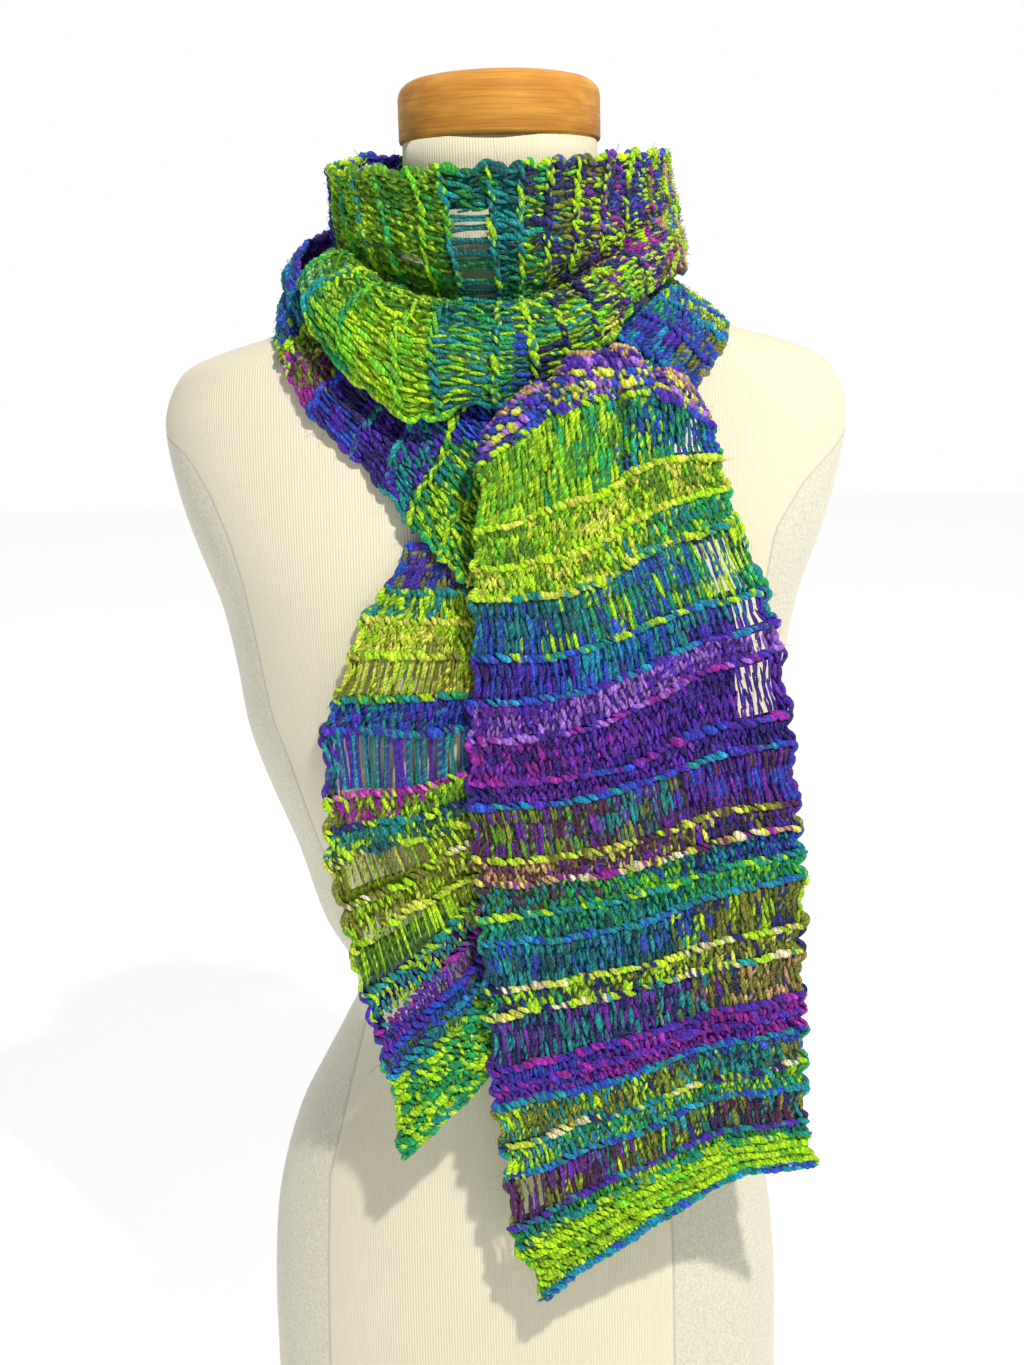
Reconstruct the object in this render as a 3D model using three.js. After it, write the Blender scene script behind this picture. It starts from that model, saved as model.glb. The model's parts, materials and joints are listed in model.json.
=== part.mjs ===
// A long hand-knit scarf in garter ridges and open ladders, wound once round the neck of a
// limbless dress form and looped over itself, so that both tails hang down the front.
// Millimetres, +Z up. The form faces -Y and stands on its flat base at z = 0.
import * as THREE from "three";

// Driving dimensions
const WALL = 3; // thickness of the knitted cloth between its ridges
const RIDGE = 1.6; // how far a garter ridge stands above the wall
const SEAM_GAP = 0.3; // clearance between one stretch of the scarf and the next
const FORM_ROUNDNESS = 2.3; // exponent of the form's rounded cross-section
const FORM_SIDES = 40;
const CAP_SIDES = 32;
const PLEAT_ENDS = 0.7; // exponent of the way a pleat rises and dies out along its length

const COLOURS = {
  jersey: 0xeae2d0,
  wood: 0xc98a4b,
  cowl: 0x4f9a2e,
  bands: 0x3d5f9a,
  leftStrand: 0x3f5aa8,
  rightStrand: 0x4a6fb0,
  frontTail: 0x5b3aa6,
  leftTail: 0x8aa52c,
};

// Rows of numbers under named columns
function table(names, rows) {
  const columns = names.split(" ");
  return rows.map((row) => Object.fromEntries(columns.map((column, i) => [column, row[i]])));
}

// The dress form, one row for each level: half its width, and how deep it is before and behind
const FORM_LEVELS = table("z half front back", [
  [0, 156, 107.5, 112.5],
  [3, 157.5, 109, 114],
  [40, 158, 110, 115],
  [90, 158, 110, 116],
  [140, 157, 108, 115],
  [190, 152, 102, 110],
  [236, 139, 95, 99],
  [269, 122, 90, 88],
  [295, 108, 87, 79],
  [318, 98, 86, 74],
  [345, 102, 88, 74],
  [373, 117, 94, 76],
  [418, 130, 105, 82],
  [455, 144, 113, 87],
  [490, 155, 116, 91],
  [525, 160, 114, 94],
  [560, 167, 108, 96],
  [590, 178, 100, 96],
  [618, 187, 91, 94],
  [646, 193, 81, 90],
  [666, 194, 74, 86],
  [683, 188, 68, 82],
  [694, 178, 65, 79],
  [702, 158, 63, 77],
  [710, 131, 62, 74],
  [717, 112, 61, 70],
  [724, 90, 60, 66],
  [733, 68, 58, 62],
  [745, 59, 56, 57],
  [765, 55.5, 54, 54],
  [812, 54, 53, 53],
]);

// The turned cap in the neck, from the middle of its underside round its edge to its crown
const CAP_PROFILE = table("radius z", [
  [0, 812.3],
  [54.5, 812.3],
  [56, 814.3],
  [56, 836],
  [54, 841.4],
  [49, 845],
  [36, 847.2],
  [0, 848],
]);

// The front of the wrap, round the neck: one row for each direction, in degrees from straight
// ahead towards +X. Radius from the neck's axis and height of the cloth's top edge, of its
// sloping wall, of the valley where it folds out, of the roll's crown and of the lower hem.
const COWL_ROWS = table("turn topR topZ wallR wallZ valleyR valleyZ rollR rollZ hemR hemZ", [
  [-120, 89, 811, 89, 788, 90, 766, 91, 748, 91, 731],
  [-95, 92, 802, 92, 780, 93, 759, 98, 746, 99, 733],
  [-78, 93, 798, 91, 774, 91, 754, 98, 744, 99, 732],
  [-65, 94, 795, 90, 770, 86, 748, 111, 746, 115, 734],
  [-52, 92, 794, 85, 766, 79, 737, 117, 728, 117, 704],
  [-30, 88, 792, 79, 757, 71, 727, 108, 707, 104, 669],
  [-12, 86, 792, 77, 756, 69, 723, 104, 706, 98, 674],
  [6, 85, 793, 77, 757, 69, 724, 101, 707, 95, 677],
  [26, 87, 796, 80, 762, 74, 731, 98, 717, 93, 693],
  [46, 90, 799, 84, 770, 82, 746, 98, 739, 94, 722],
  [66, 92, 802, 90, 781, 90, 763, 98, 752, 96, 739],
  [84, 90, 803, 92, 785, 96, 768, 99, 755, 99, 742],
  [100, 88, 804, 92, 787, 96, 769, 98, 756, 99, 742],
]);

// Behind the neck the wrap passes twice: the inner band climbs to the cowl's left end, and
// the outer band comes down from the cowl's right end. Turns run on past 180 degrees.
const INNER_BAND_ROWS = table("turn topR topZ wallR wallZ valleyR valleyZ rollR rollZ hemR hemZ", [
  [115, 78, 776, 79, 763, 85, 751, 88, 738, 93, 727],
  [145, 68, 789, 67, 771, 73, 757, 73, 742, 78, 729],
  [180, 65, 801, 64, 782, 69, 765, 69, 748, 73, 732],
  [212, 73, 809, 72, 788, 76, 769, 77, 750, 79, 733],
  [240, 89, 811, 89, 788, 90, 766, 91, 748, 91, 731],
]);
const OUTER_BAND_ROWS = table("turn topR topZ wallR wallZ valleyR valleyZ rollR rollZ hemR hemZ", [
  [100, 88, 804, 92, 787, 96, 769, 98, 756, 99, 742],
  [130, 85, 803, 87, 783, 92, 765, 93, 748, 98, 731],
  [160, 79, 799, 81, 779, 87, 760, 86, 742, 93, 724],
  [190, 79, 796, 81, 776, 87, 757, 86, 738, 93, 720],
  [218, 88, 786, 89, 769, 94, 753, 97, 735, 102, 717],
  [238, 98, 774, 101, 761, 105, 747, 109, 732, 114, 716],
]);

// The two strands that come over the shoulders to the crossing: upper edge, middle and
// lower edge of the cloth at each row
const LEFT_STRAND_ROWS = table("upX upY upZ midX midY midZ lowX lowY lowZ", [
  [-83.1, 51.9, 774, -89, 55.6, 747, -96.7, 60.4, 716],
  [-99, 25, 766, -108, 28, 742, -117, 31, 716],
  [-109, -4, 758, -118, -4, 738, -121, -5, 716],
  [-111, -22, 748, -118, -25, 730, -122, -29, 711],
  [-99, -42, 722, -110, -46.5, 712, -120, -50.5, 700],
  [-84, -54, 716, -98, -57.5, 703.5, -115, -58, 689],
  [-62, -68, 705, -82, -69.5, 684, -99, -70.5, 664],
  [-37, -78, 693, -56, -79, 664, -71, -82, 638],
  [-10, -86, 680, -29, -94, 643, -46, -101.5, 608],
  [14, -92, 668, 0, -100, 625, -22, -111.7, 585],
  [33, -96, 655, 24, -104, 613, 8, -113, 578],
]);
const RIGHT_STRAND_ROWS = table("upX upY upZ midX midY midZ lowX lowY lowZ", [
  [70.7, 33, 776, 77, 36, 751, 84.3, 39.3, 727],
  [80, 10, 750, 96, 12, 731, 112, 14, 718],
  [86, -16, 736, 104, -16, 725, 119, -20, 714],
  [84, -40, 726, 103, -43, 716, 119, -48, 704],
  [70, -57, 716, 91, -58, 704, 109, -59, 690],
  [50, -65, 703, 75, -67, 688, 95, -68, 673],
  [28, -70, 686, 52, -77, 660, 72, -83, 637],
  [4, -77, 664, 26, -86.5, 636, 46, -95.5, 607],
  [-24, -84.5, 640, 4, -94, 616, 26, -102, 592],
  [-50, -94.3, 607, -9, -99.5, 602, 28, -103, 586],
]);

// The tails, one row for each course of knitting that shapes them: its left and right edge,
// its height at the left, how much it climbs to the right and how late across the cloth it
// does so, how much it arches, and its distance before the form's axis
const FRONT_TAIL_ROWS = table("left right z climb late arch ahead", [
  [4, 88, 637, 15, 1, 34, 109],
  [-5, 94, 652, 14, 1, 33, 110.5],
  [-10, 97, 658, 12, 1, 32, 117],
  [-12, 101, 650, 14, 1, 28, 124],
  [-13, 104, 633, 24, 1, 19, 125.5],
  [-15, 106, 611, 36, 1, 8, 124.5],
  [-18, 113, 583, 38, 1, 0, 124],
  [-18, 130, 545, 33, 1, 0, 123.4],
  [-21, 138, 502, 44, 1, 0, 123.4],
  [-22, 144, 468, 32, 1, 0, 125],
  [-20, 148, 430, 28, 1, 0, 127.5],
  [-18, 151, 392, 33, 0.9, 0, 129],
  [-15, 150, 352, 32, 0.7, 0, 129],
  [-14, 152, 312, 41, 0.4, 0, 129],
  [-9, 153, 270, 47, 0.2, 0, 129],
  [-4, 154, 221, 62, 0, 0, 128],
  [12, 160, 182, 76, 0, 0, 128],
]);
const LEFT_TAIL_ROWS = table("left right z climb late arch ahead", [
  [-51, 29, 602, -20, 0, 6, 101.8],
  [-65, 42, 578, -8, 0, 3, 106],
  [-76, 52, 564, -4, 0, 0, 108.4],
  [-83, 56, 546, -2, 0, 0, 111.6],
  [-92, 54, 522, 2, 0, 0, 114.3],
  [-100, 46, 503, 5, 0, 0, 115.5],
  [-99, 42, 469, 20, 0, 0, 116.6],
  [-100, 42, 438, 32, 0, 0, 118],
  [-95, 46, 416, 50, 0, 0, 119],
  [-90, 50, 390, 62, 0, 0, 120],
  [-82, 56, 352, 84, 0, 0, 121],
  [-73, 62, 320, 92, 0, 0, 122],
  [-65, 66, 264, 112, 0, 0, 122],
]);

// Where the points of a tail's row lie between its edges, the share of the climb and of the
// arch at each, and how far the cloth bows forward there
const FRONT_TAIL_STATIONS = table("across climb lateClimb arch bow", [
  [0, 0, 0, 0, 0],
  [0.25, 0.32, 0.06, 0.75, 1.5],
  [0.5, 0.62, 0.32, 1, 2.5],
  [0.75, 0.9, 0.75, 0.75, 1],
  [1, 1, 1, 0, -1],
]);
const LEFT_TAIL_STATIONS = table("across climb lateClimb arch bow", [
  [0, 0, 0, 0, -4],
  [0.25, 0.3, 0.3, 0.75, 0],
  [0.5, 0.6, 0.6, 1, 1],
  [0.75, 0.85, 0.85, 0.75, 1],
  [1, 1, 1, 0, 0.5],
]);

// Soft pleats and creases: from and to are shares of the stretch's length, at and width are
// shares of the cloth's width, and lift is how far the cloth stands out there
const COWL_PLEATS = table("from to at width lift", [
  [0.1, 0.75, 0.1, 0.07, 2],
  [0.55, 0.95, 0.32, 0.07, -4],
  [0.15, 0.6, 0.9, 0.06, -3],
]);
const BAND_PLEATS = table("from to at width lift", [
  [0, 0.7, 0.3, 0.09, 2.5],
  [0.3, 1, 0.68, 0.1, 2.5],
]);
const STRAND_PLEATS = table("from to at width lift", [
  [0.1, 1, 0.27, 0.09, -3],
  [0, 0.85, 0.5, 0.08, 3.5],
  [0.25, 1, 0.74, 0.08, -2.5],
]);
const FRONT_TAIL_CREASES = table("from to at width lift", [
  [0.15, 0.36, 0.61, 0.045, -8],
  [0.19, 0.4, 0.24, 0.05, -5],
  [0.08, 0.3, 0.82, 0.06, 4],
  [0.06, 0.26, 0.44, 0.07, 4],
  [0.4, 0.98, 0.06, 0.06, 3],
]);
const LEFT_TAIL_CREASES = table("from to at width lift", [
  [0.1, 0.9, 0.66, 0.09, 2.5],
  [0.3, 1, 0.3, 0.1, 2.5],
]);

// Ladders: runs of dropped stitches whose gaps are cut through. A stretch with ladders has
// columns of its own across the cloth: some before the first gap, then bars and gaps in turn,
// then some after them. Rows and columns count the cells of that grid, and every gap is one
// column wide.
const COWL_GRID = { before: 2, start: 0.1, bar: 0.035, gap: 0.035, gaps: 4, after: 12 };
const COWL_LADDERS = [{ firstRow: 13, lastRow: 14, columns: [3, 5, 7, 9] }];
const FRONT_TAIL_GRID = { before: 8, start: 0.6, bar: 0.036, gap: 0.031, gaps: 5, after: 2 };
const FRONT_TAIL_LADDERS = [
  { firstRow: 12, lastRow: 12, columns: [13, 15] },
  { firstRow: 16, lastRow: 16, columns: [15, 17] },
  { firstRow: 18, lastRow: 18, columns: [13, 15, 17] },
  { firstRow: 20, lastRow: 20, columns: [15, 17] },
  { firstRow: 29, lastRow: 29, columns: [9, 11, 13, 15] },
];
const LEFT_TAIL_GRID = { before: 1, start: 0.02, bar: 0.045, gap: 0.04, gaps: 4, after: 9 };
const LEFT_TAIL_LADDERS = [
  { firstRow: 10, lastRow: 10, columns: [2, 4, 6, 8] },
  { firstRow: 12, lastRow: 12, columns: [2, 4, 6] },
];

const vector = (x, y, z) => new THREE.Vector3(x, y, z);

function evenly(count, start = 0, end = 1) {
  return Array.from({ length: count + 1 }, (_, i) => start + ((end - start) * i) / count);
}

// The shares of the cloth's width at which a stretch with ladders has its columns
function ladderColumns({ before, start, bar, gap, gaps, after }) {
  const columns = evenly(before, 0, start);
  for (let k = 0; k < gaps; k++) {
    const edge = columns.at(-1);
    columns.push(edge + bar, edge + bar + gap);
  }
  return [...columns, ...evenly(after, columns.at(-1)).slice(1)];
}

// The shares of a stretch's length at which it has its rows: it keeps half the seam's
// clearance at each end
function trimmedRows(count, length) {
  const trim = SEAM_GAP / 2 / length;
  return evenly(count, trim, 1 - trim);
}

// A neck row turned into points across the cloth
function neckSection(row) {
  const turn = THREE.MathUtils.degToRad(row.turn);
  const at = (radius, z) => vector(radius * Math.sin(turn), -radius * Math.cos(turn), z);
  return [
    at(row.topR, row.topZ),
    at(row.wallR, row.wallZ),
    at(row.valleyR, row.valleyZ),
    at(row.rollR, row.rollZ),
    at(row.hemR, row.hemZ),
  ];
}

function strandSection(row) {
  return [
    vector(row.upX, row.upY, row.upZ),
    vector(row.midX, row.midY, row.midZ),
    vector(row.lowX, row.lowY, row.lowZ),
  ];
}

function tailSection(row, stations) {
  return stations.map((station) =>
    vector(
      THREE.MathUtils.lerp(row.left, row.right, station.across),
      -row.ahead - station.bow,
      row.z +
        row.climb * THREE.MathUtils.lerp(station.climb, station.lateClimb, row.late) +
        row.arch * station.arch,
    ),
  );
}

// How far the pleats lift the cloth at a share of its length and of its width
function pleatLift(pleats, along, across) {
  let lift = 0;
  for (const pleat of pleats) {
    if (along <= pleat.from || along >= pleat.to) continue;
    const share = (along - pleat.from) / (pleat.to - pleat.from);
    const fade = Math.sin(Math.PI * share) ** PLEAT_ENDS;
    lift += pleat.lift * fade * Math.exp(-(((across - pleat.at) / pleat.width) ** 2));
  }
  return lift;
}

// The cloth's plain inner face as a grid of points, with the way out at each
function clothGrid(sections, rows, columns, pleats) {
  const curve = (points) => new THREE.CatmullRomCurve3(points, false, "catmullrom", 0.5);
  const across = sections.map(curve);
  const grid = rows.map(() => []);
  for (const column of columns) {
    const along = curve(across.map((section) => section.getPoint(column)));
    rows.forEach((row, i) => grid[i].push(along.getPoint(row)));
  }
  const normals = gridNormals(grid);
  rows.forEach((row, i) =>
    columns.forEach((column, j) =>
      grid[i][j].addScaledVector(normals[i][j], pleatLift(pleats, row, column)),
    ),
  );
  return { points: grid, normals: gridNormals(grid) };
}

function gridNormals(grid) {
  const last = (list) => list.length - 1;
  return grid.map((row, i) =>
    row.map((_, j) => {
      const alongRow = vector(0, 0, 0).subVectors(
        grid[Math.min(i + 1, last(grid))][j],
        grid[Math.max(i - 1, 0)][j],
      );
      const acrossRow = vector(0, 0, 0).subVectors(
        row[Math.min(j + 1, last(row))],
        row[Math.max(j - 1, 0)],
      );
      return alongRow.cross(acrossRow).normalize();
    }),
  );
}

// A closed cloth wall over a grid: plain inside, a ridge on every other row outside, cut
// through at its ladders. courses counts the cells along the cloth's length, and facing is 1
// or -1, the side of the grid's own normal on which the right side lies.
function clothWall({ sections, courses, length, columns, pleats, ladders = [], facing }) {
  const rows = trimmedRows(courses, length);
  const { points, normals } = clothGrid(sections, rows, columns, pleats);
  const positions = [];
  const inner = [];
  const outer = [];
  const addVertex = (point) => positions.push(point.x, point.y, point.z) / 3 - 1;
  rows.forEach((_, i) => {
    inner.push([]);
    outer.push([]);
    const height = WALL + (i % 2) * RIDGE;
    columns.forEach((_, j) => {
      const raised = points[i][j].clone().addScaledVector(normals[i][j], facing * height);
      inner[i].push(addVertex(points[i][j]));
      outer[i].push(addVertex(raised));
    });
  });

  const inGap = (ladder, i, j) =>
    i >= ladder.firstRow && i <= ladder.lastRow && ladder.columns.includes(j);
  const isOpen = (i, j) =>
    i < 0 ||
    j < 0 ||
    i >= rows.length - 1 ||
    j >= columns.length - 1 ||
    ladders.some((ladder) => inGap(ladder, i, j));
  const faces = [];
  const addQuad = (a, b, c, d) => {
    if (facing > 0) faces.push(a, b, c, a, c, d);
    else faces.push(a, c, b, a, d, c);
  };
  for (let i = 0; i < rows.length - 1; i++)
    for (let j = 0; j < columns.length - 1; j++) {
      if (isOpen(i, j)) continue;
      const corners = [
        [i, j],
        [i + 1, j],
        [i + 1, j + 1],
        [i, j + 1],
      ];
      addQuad(...corners.map(([r, c]) => outer[r][c]));
      addQuad(...corners.map(([r, c]) => inner[r][c]).reverse());
      const beyond = [
        [i, j - 1],
        [i + 1, j],
        [i, j + 1],
        [i - 1, j],
      ];
      beyond.forEach(([r, c], side) => {
        if (!isOpen(r, c)) return;
        const [fromR, fromC] = corners[side];
        const [toR, toC] = corners[(side + 1) % 4];
        addQuad(outer[toR][toC], outer[fromR][fromC], inner[fromR][fromC], inner[toR][toC]);
      });
    }
  const geometry = new THREE.BufferGeometry();
  geometry.setAttribute("position", new THREE.Float32BufferAttribute(positions, 3));
  geometry.setIndex(faces);
  geometry.computeVertexNormals();
  return geometry;
}

// The torso and neck as one closed solid of rounded levels
function torsoGeometry() {
  const positions = [];
  const addVertex = (x, y, z) => positions.push(x, y, z) / 3 - 1;
  const rings = FORM_LEVELS.map((level) =>
    Array.from({ length: FORM_SIDES }, (_, i) => {
      const angle = (2 * Math.PI * i) / FORM_SIDES;
      const cos = Math.cos(angle);
      const sin = Math.sin(angle);
      const power = 2 / FORM_ROUNDNESS;
      const depth = sin < 0 ? level.front : level.back;
      const x = level.half * Math.sign(cos) * Math.abs(cos) ** power;
      const y = depth * Math.sign(sin) * Math.abs(sin) ** power;
      return addVertex(x, y, level.z);
    }),
  );
  const base = addVertex(0, 0, FORM_LEVELS[0].z);
  const crown = addVertex(0, 0, FORM_LEVELS.at(-1).z);
  const faces = [];
  for (let i = 0; i < FORM_SIDES; i++) {
    const next = (i + 1) % FORM_SIDES;
    for (let level = 0; level < rings.length - 1; level++) {
      const low = rings[level];
      const high = rings[level + 1];
      faces.push(low[i], low[next], high[next], low[i], high[next], high[i]);
    }
    faces.push(base, rings[0][next], rings[0][i]);
    faces.push(crown, rings.at(-1)[i], rings.at(-1)[next]);
  }
  const geometry = new THREE.BufferGeometry();
  geometry.setAttribute("position", new THREE.Float32BufferAttribute(positions, 3));
  geometry.setIndex(faces);
  geometry.computeVertexNormals();
  return geometry;
}

// The turned wooden cap that closes the neck
function neckCapGeometry() {
  const profile = CAP_PROFILE.map(({ radius, z }) => new THREE.Vector2(radius, z));
  return new THREE.LatheGeometry(profile, CAP_SIDES).rotateX(Math.PI / 2);
}

// The scarf in the order of its length, from the hem of the left tail to the hem of the front
// tail. length is the run of the stretch's middle.
const STRETCHES = [
  {
    name: "left_tail",
    colour: COLOURS.leftTail,
    sections: LEFT_TAIL_ROWS.map((row) => tailSection(row, LEFT_TAIL_STATIONS)),
    courses: 24,
    length: 350,
    columns: ladderColumns(LEFT_TAIL_GRID),
    pleats: LEFT_TAIL_CREASES,
    ladders: LEFT_TAIL_LADDERS,
    facing: 1,
  },
  {
    name: "strand_right",
    colour: COLOURS.rightStrand,
    sections: RIGHT_STRAND_ROWS.map(strandSection),
    courses: 20,
    length: 220,
    columns: evenly(10),
    pleats: [],
    facing: 1,
  },
  {
    name: "back_band_inner",
    colour: COLOURS.bands,
    sections: INNER_BAND_ROWS.map(neckSection),
    courses: 16,
    length: 170,
    columns: evenly(10),
    pleats: BAND_PLEATS,
    facing: -1,
  },
  {
    name: "neck_wrap",
    colour: COLOURS.cowl,
    sections: COWL_ROWS.map(neckSection),
    courses: 30,
    length: 330,
    columns: ladderColumns(COWL_GRID),
    pleats: COWL_PLEATS,
    ladders: COWL_LADDERS,
    facing: -1,
  },
  {
    name: "back_band_outer",
    colour: COLOURS.bands,
    sections: OUTER_BAND_ROWS.map(neckSection),
    courses: 18,
    length: 215,
    columns: evenly(10),
    pleats: BAND_PLEATS,
    facing: -1,
  },
  {
    name: "strand_left",
    colour: COLOURS.leftStrand,
    sections: LEFT_STRAND_ROWS.map(strandSection),
    courses: 22,
    length: 230,
    columns: evenly(12),
    pleats: STRAND_PLEATS,
    facing: -1,
  },
  {
    name: "front_tail",
    colour: COLOURS.frontTail,
    sections: FRONT_TAIL_ROWS.map((row) => tailSection(row, FRONT_TAIL_STATIONS)),
    courses: 38,
    length: 540,
    columns: ladderColumns(FRONT_TAIL_GRID),
    pleats: FRONT_TAIL_CREASES,
    ladders: FRONT_TAIL_LADDERS,
    facing: 1,
  },
];

function addMesh(group, name, geometry, colour, roughness) {
  const material = new THREE.MeshStandardMaterial({ color: colour, roughness, metalness: 0 });
  const mesh = new THREE.Mesh(geometry, material);
  mesh.name = name;
  group.add(mesh);
}

const group = new THREE.Group();
addMesh(group, "form_torso", torsoGeometry(), COLOURS.jersey, 0.95);
addMesh(group, "form_neck_cap", neckCapGeometry(), COLOURS.wood, 0.45);
for (const stretch of STRETCHES)
  addMesh(group, stretch.name, clothWall(stretch), stretch.colour, 0.9);

// The sizes above are taken from the neck's axis. The part's own origin lies under the middle
// of its whole depth, which the tails carry forward.
const extent = new THREE.Box3().setFromObject(group);
group.position.y = -(extent.min.y + extent.max.y) / 2;

export default group;
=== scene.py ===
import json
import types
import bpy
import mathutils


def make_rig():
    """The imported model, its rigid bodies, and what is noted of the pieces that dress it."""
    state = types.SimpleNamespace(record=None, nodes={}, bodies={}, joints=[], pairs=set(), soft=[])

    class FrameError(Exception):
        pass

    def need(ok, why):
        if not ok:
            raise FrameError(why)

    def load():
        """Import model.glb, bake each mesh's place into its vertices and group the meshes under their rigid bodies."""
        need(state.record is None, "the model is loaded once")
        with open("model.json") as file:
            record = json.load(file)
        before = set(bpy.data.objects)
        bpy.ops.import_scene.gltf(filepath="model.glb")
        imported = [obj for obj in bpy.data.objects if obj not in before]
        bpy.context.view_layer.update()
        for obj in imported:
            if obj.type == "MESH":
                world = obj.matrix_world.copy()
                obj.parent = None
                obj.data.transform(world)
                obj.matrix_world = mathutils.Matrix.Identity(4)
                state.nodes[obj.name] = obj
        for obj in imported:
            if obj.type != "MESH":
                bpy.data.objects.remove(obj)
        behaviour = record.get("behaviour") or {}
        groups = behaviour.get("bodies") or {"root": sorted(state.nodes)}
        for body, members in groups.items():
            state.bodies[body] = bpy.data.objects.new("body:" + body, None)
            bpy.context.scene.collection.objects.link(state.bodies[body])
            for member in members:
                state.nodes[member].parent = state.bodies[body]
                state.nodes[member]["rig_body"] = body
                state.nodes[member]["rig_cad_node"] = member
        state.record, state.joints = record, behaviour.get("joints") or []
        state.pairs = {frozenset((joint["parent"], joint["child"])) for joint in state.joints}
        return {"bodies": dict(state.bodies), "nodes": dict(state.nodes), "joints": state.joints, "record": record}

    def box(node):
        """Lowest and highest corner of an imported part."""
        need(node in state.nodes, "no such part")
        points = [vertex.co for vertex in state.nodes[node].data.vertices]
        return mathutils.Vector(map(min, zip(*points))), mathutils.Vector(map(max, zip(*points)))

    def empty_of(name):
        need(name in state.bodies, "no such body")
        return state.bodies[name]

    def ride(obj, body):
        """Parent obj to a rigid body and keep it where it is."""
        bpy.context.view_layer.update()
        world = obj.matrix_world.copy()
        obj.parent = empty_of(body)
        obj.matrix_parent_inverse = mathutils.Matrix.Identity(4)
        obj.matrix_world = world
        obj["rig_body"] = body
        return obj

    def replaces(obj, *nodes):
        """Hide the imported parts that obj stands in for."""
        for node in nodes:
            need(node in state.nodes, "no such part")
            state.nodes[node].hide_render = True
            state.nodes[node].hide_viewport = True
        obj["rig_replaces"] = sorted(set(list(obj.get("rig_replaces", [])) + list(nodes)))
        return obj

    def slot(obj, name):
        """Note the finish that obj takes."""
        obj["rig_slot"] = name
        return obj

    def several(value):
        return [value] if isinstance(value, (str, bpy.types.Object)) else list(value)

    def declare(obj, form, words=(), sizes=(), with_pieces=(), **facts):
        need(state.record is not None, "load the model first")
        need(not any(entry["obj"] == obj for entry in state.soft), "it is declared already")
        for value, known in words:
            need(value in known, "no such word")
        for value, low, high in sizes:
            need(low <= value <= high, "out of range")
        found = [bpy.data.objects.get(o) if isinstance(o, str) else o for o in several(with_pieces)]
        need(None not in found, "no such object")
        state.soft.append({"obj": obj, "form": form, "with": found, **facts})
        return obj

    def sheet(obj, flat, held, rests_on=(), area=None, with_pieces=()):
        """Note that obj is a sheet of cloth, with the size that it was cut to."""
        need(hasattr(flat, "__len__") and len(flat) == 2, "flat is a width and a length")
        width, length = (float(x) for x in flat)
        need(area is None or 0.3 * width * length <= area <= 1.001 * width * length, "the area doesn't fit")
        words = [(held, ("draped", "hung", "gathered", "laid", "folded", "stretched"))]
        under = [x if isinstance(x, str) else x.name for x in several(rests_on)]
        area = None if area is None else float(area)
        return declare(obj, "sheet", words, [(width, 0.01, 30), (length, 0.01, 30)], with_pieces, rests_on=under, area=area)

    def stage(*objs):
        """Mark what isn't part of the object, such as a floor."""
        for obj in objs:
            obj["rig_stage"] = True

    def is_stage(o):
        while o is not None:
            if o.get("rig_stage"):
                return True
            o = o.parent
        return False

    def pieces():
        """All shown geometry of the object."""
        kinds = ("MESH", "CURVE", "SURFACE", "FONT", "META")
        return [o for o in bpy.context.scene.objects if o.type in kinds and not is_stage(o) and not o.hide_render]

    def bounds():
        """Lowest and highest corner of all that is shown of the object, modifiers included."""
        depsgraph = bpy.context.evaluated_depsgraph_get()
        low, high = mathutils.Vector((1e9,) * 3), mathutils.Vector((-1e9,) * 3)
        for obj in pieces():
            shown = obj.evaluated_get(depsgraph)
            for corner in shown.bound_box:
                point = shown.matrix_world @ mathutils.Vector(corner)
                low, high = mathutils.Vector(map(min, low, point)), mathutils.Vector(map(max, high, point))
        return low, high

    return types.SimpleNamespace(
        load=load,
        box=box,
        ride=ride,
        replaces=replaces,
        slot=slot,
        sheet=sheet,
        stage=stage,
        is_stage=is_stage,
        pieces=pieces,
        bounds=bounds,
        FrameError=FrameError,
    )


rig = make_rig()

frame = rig.load()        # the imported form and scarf, in metres

import json
import math

import bmesh
import bpy
import numpy as np
from mathutils import Matrix, Vector

# A hand-knit scarf of thick-and-thin yarn on a limbless dress form. Each stretch of the scarf
# is a thin cloth on the worked-out surface of that stretch, with its stitches on it as yarn.
# Sizes are in millimetres, measured from the axis of the form's neck, until a mesh is made.
cad_low, cad_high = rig.bounds()
MM = 0.001
SEED = 7
draw = np.random.default_rng(SEED)

cap_low, cap_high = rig.box("form_neck_cap")
NECK_AXIS = np.array([(cap_low.x + cap_high.x) / 2, (cap_low.y + cap_high.y) / 2, 0.0])

# The camera stands before the form, looks a little down and leans a little
CAMERA = {"distance": 987.0, "height": 714.0, "pitch": 11.9, "roll": 1.3}
LENS = 44.84
SENSOR = 36.0

# The light: a warm key from the front right, a white side behind and a dim side before
KEY = {
    "up": 48.0,
    "right": 27.0,
    "away": 2.1,
    "size": 0.09,
    "power": 45.0,
    "colour": (1.0, 0.965, 0.87),
}
KEY_AIM = (0.0, -0.05, 0.62)
WHITE_SIDE = (1.0, 1.0, 1.0, 1)
DIM_SIDE = (0.13, 0.15, 0.17, 1)
FLOOR_CORNERS = [[-6, -6, -0.0005], [6, -6, -0.0005], [6, 6, -0.0005], [-6, 6, -0.0005]]

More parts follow.
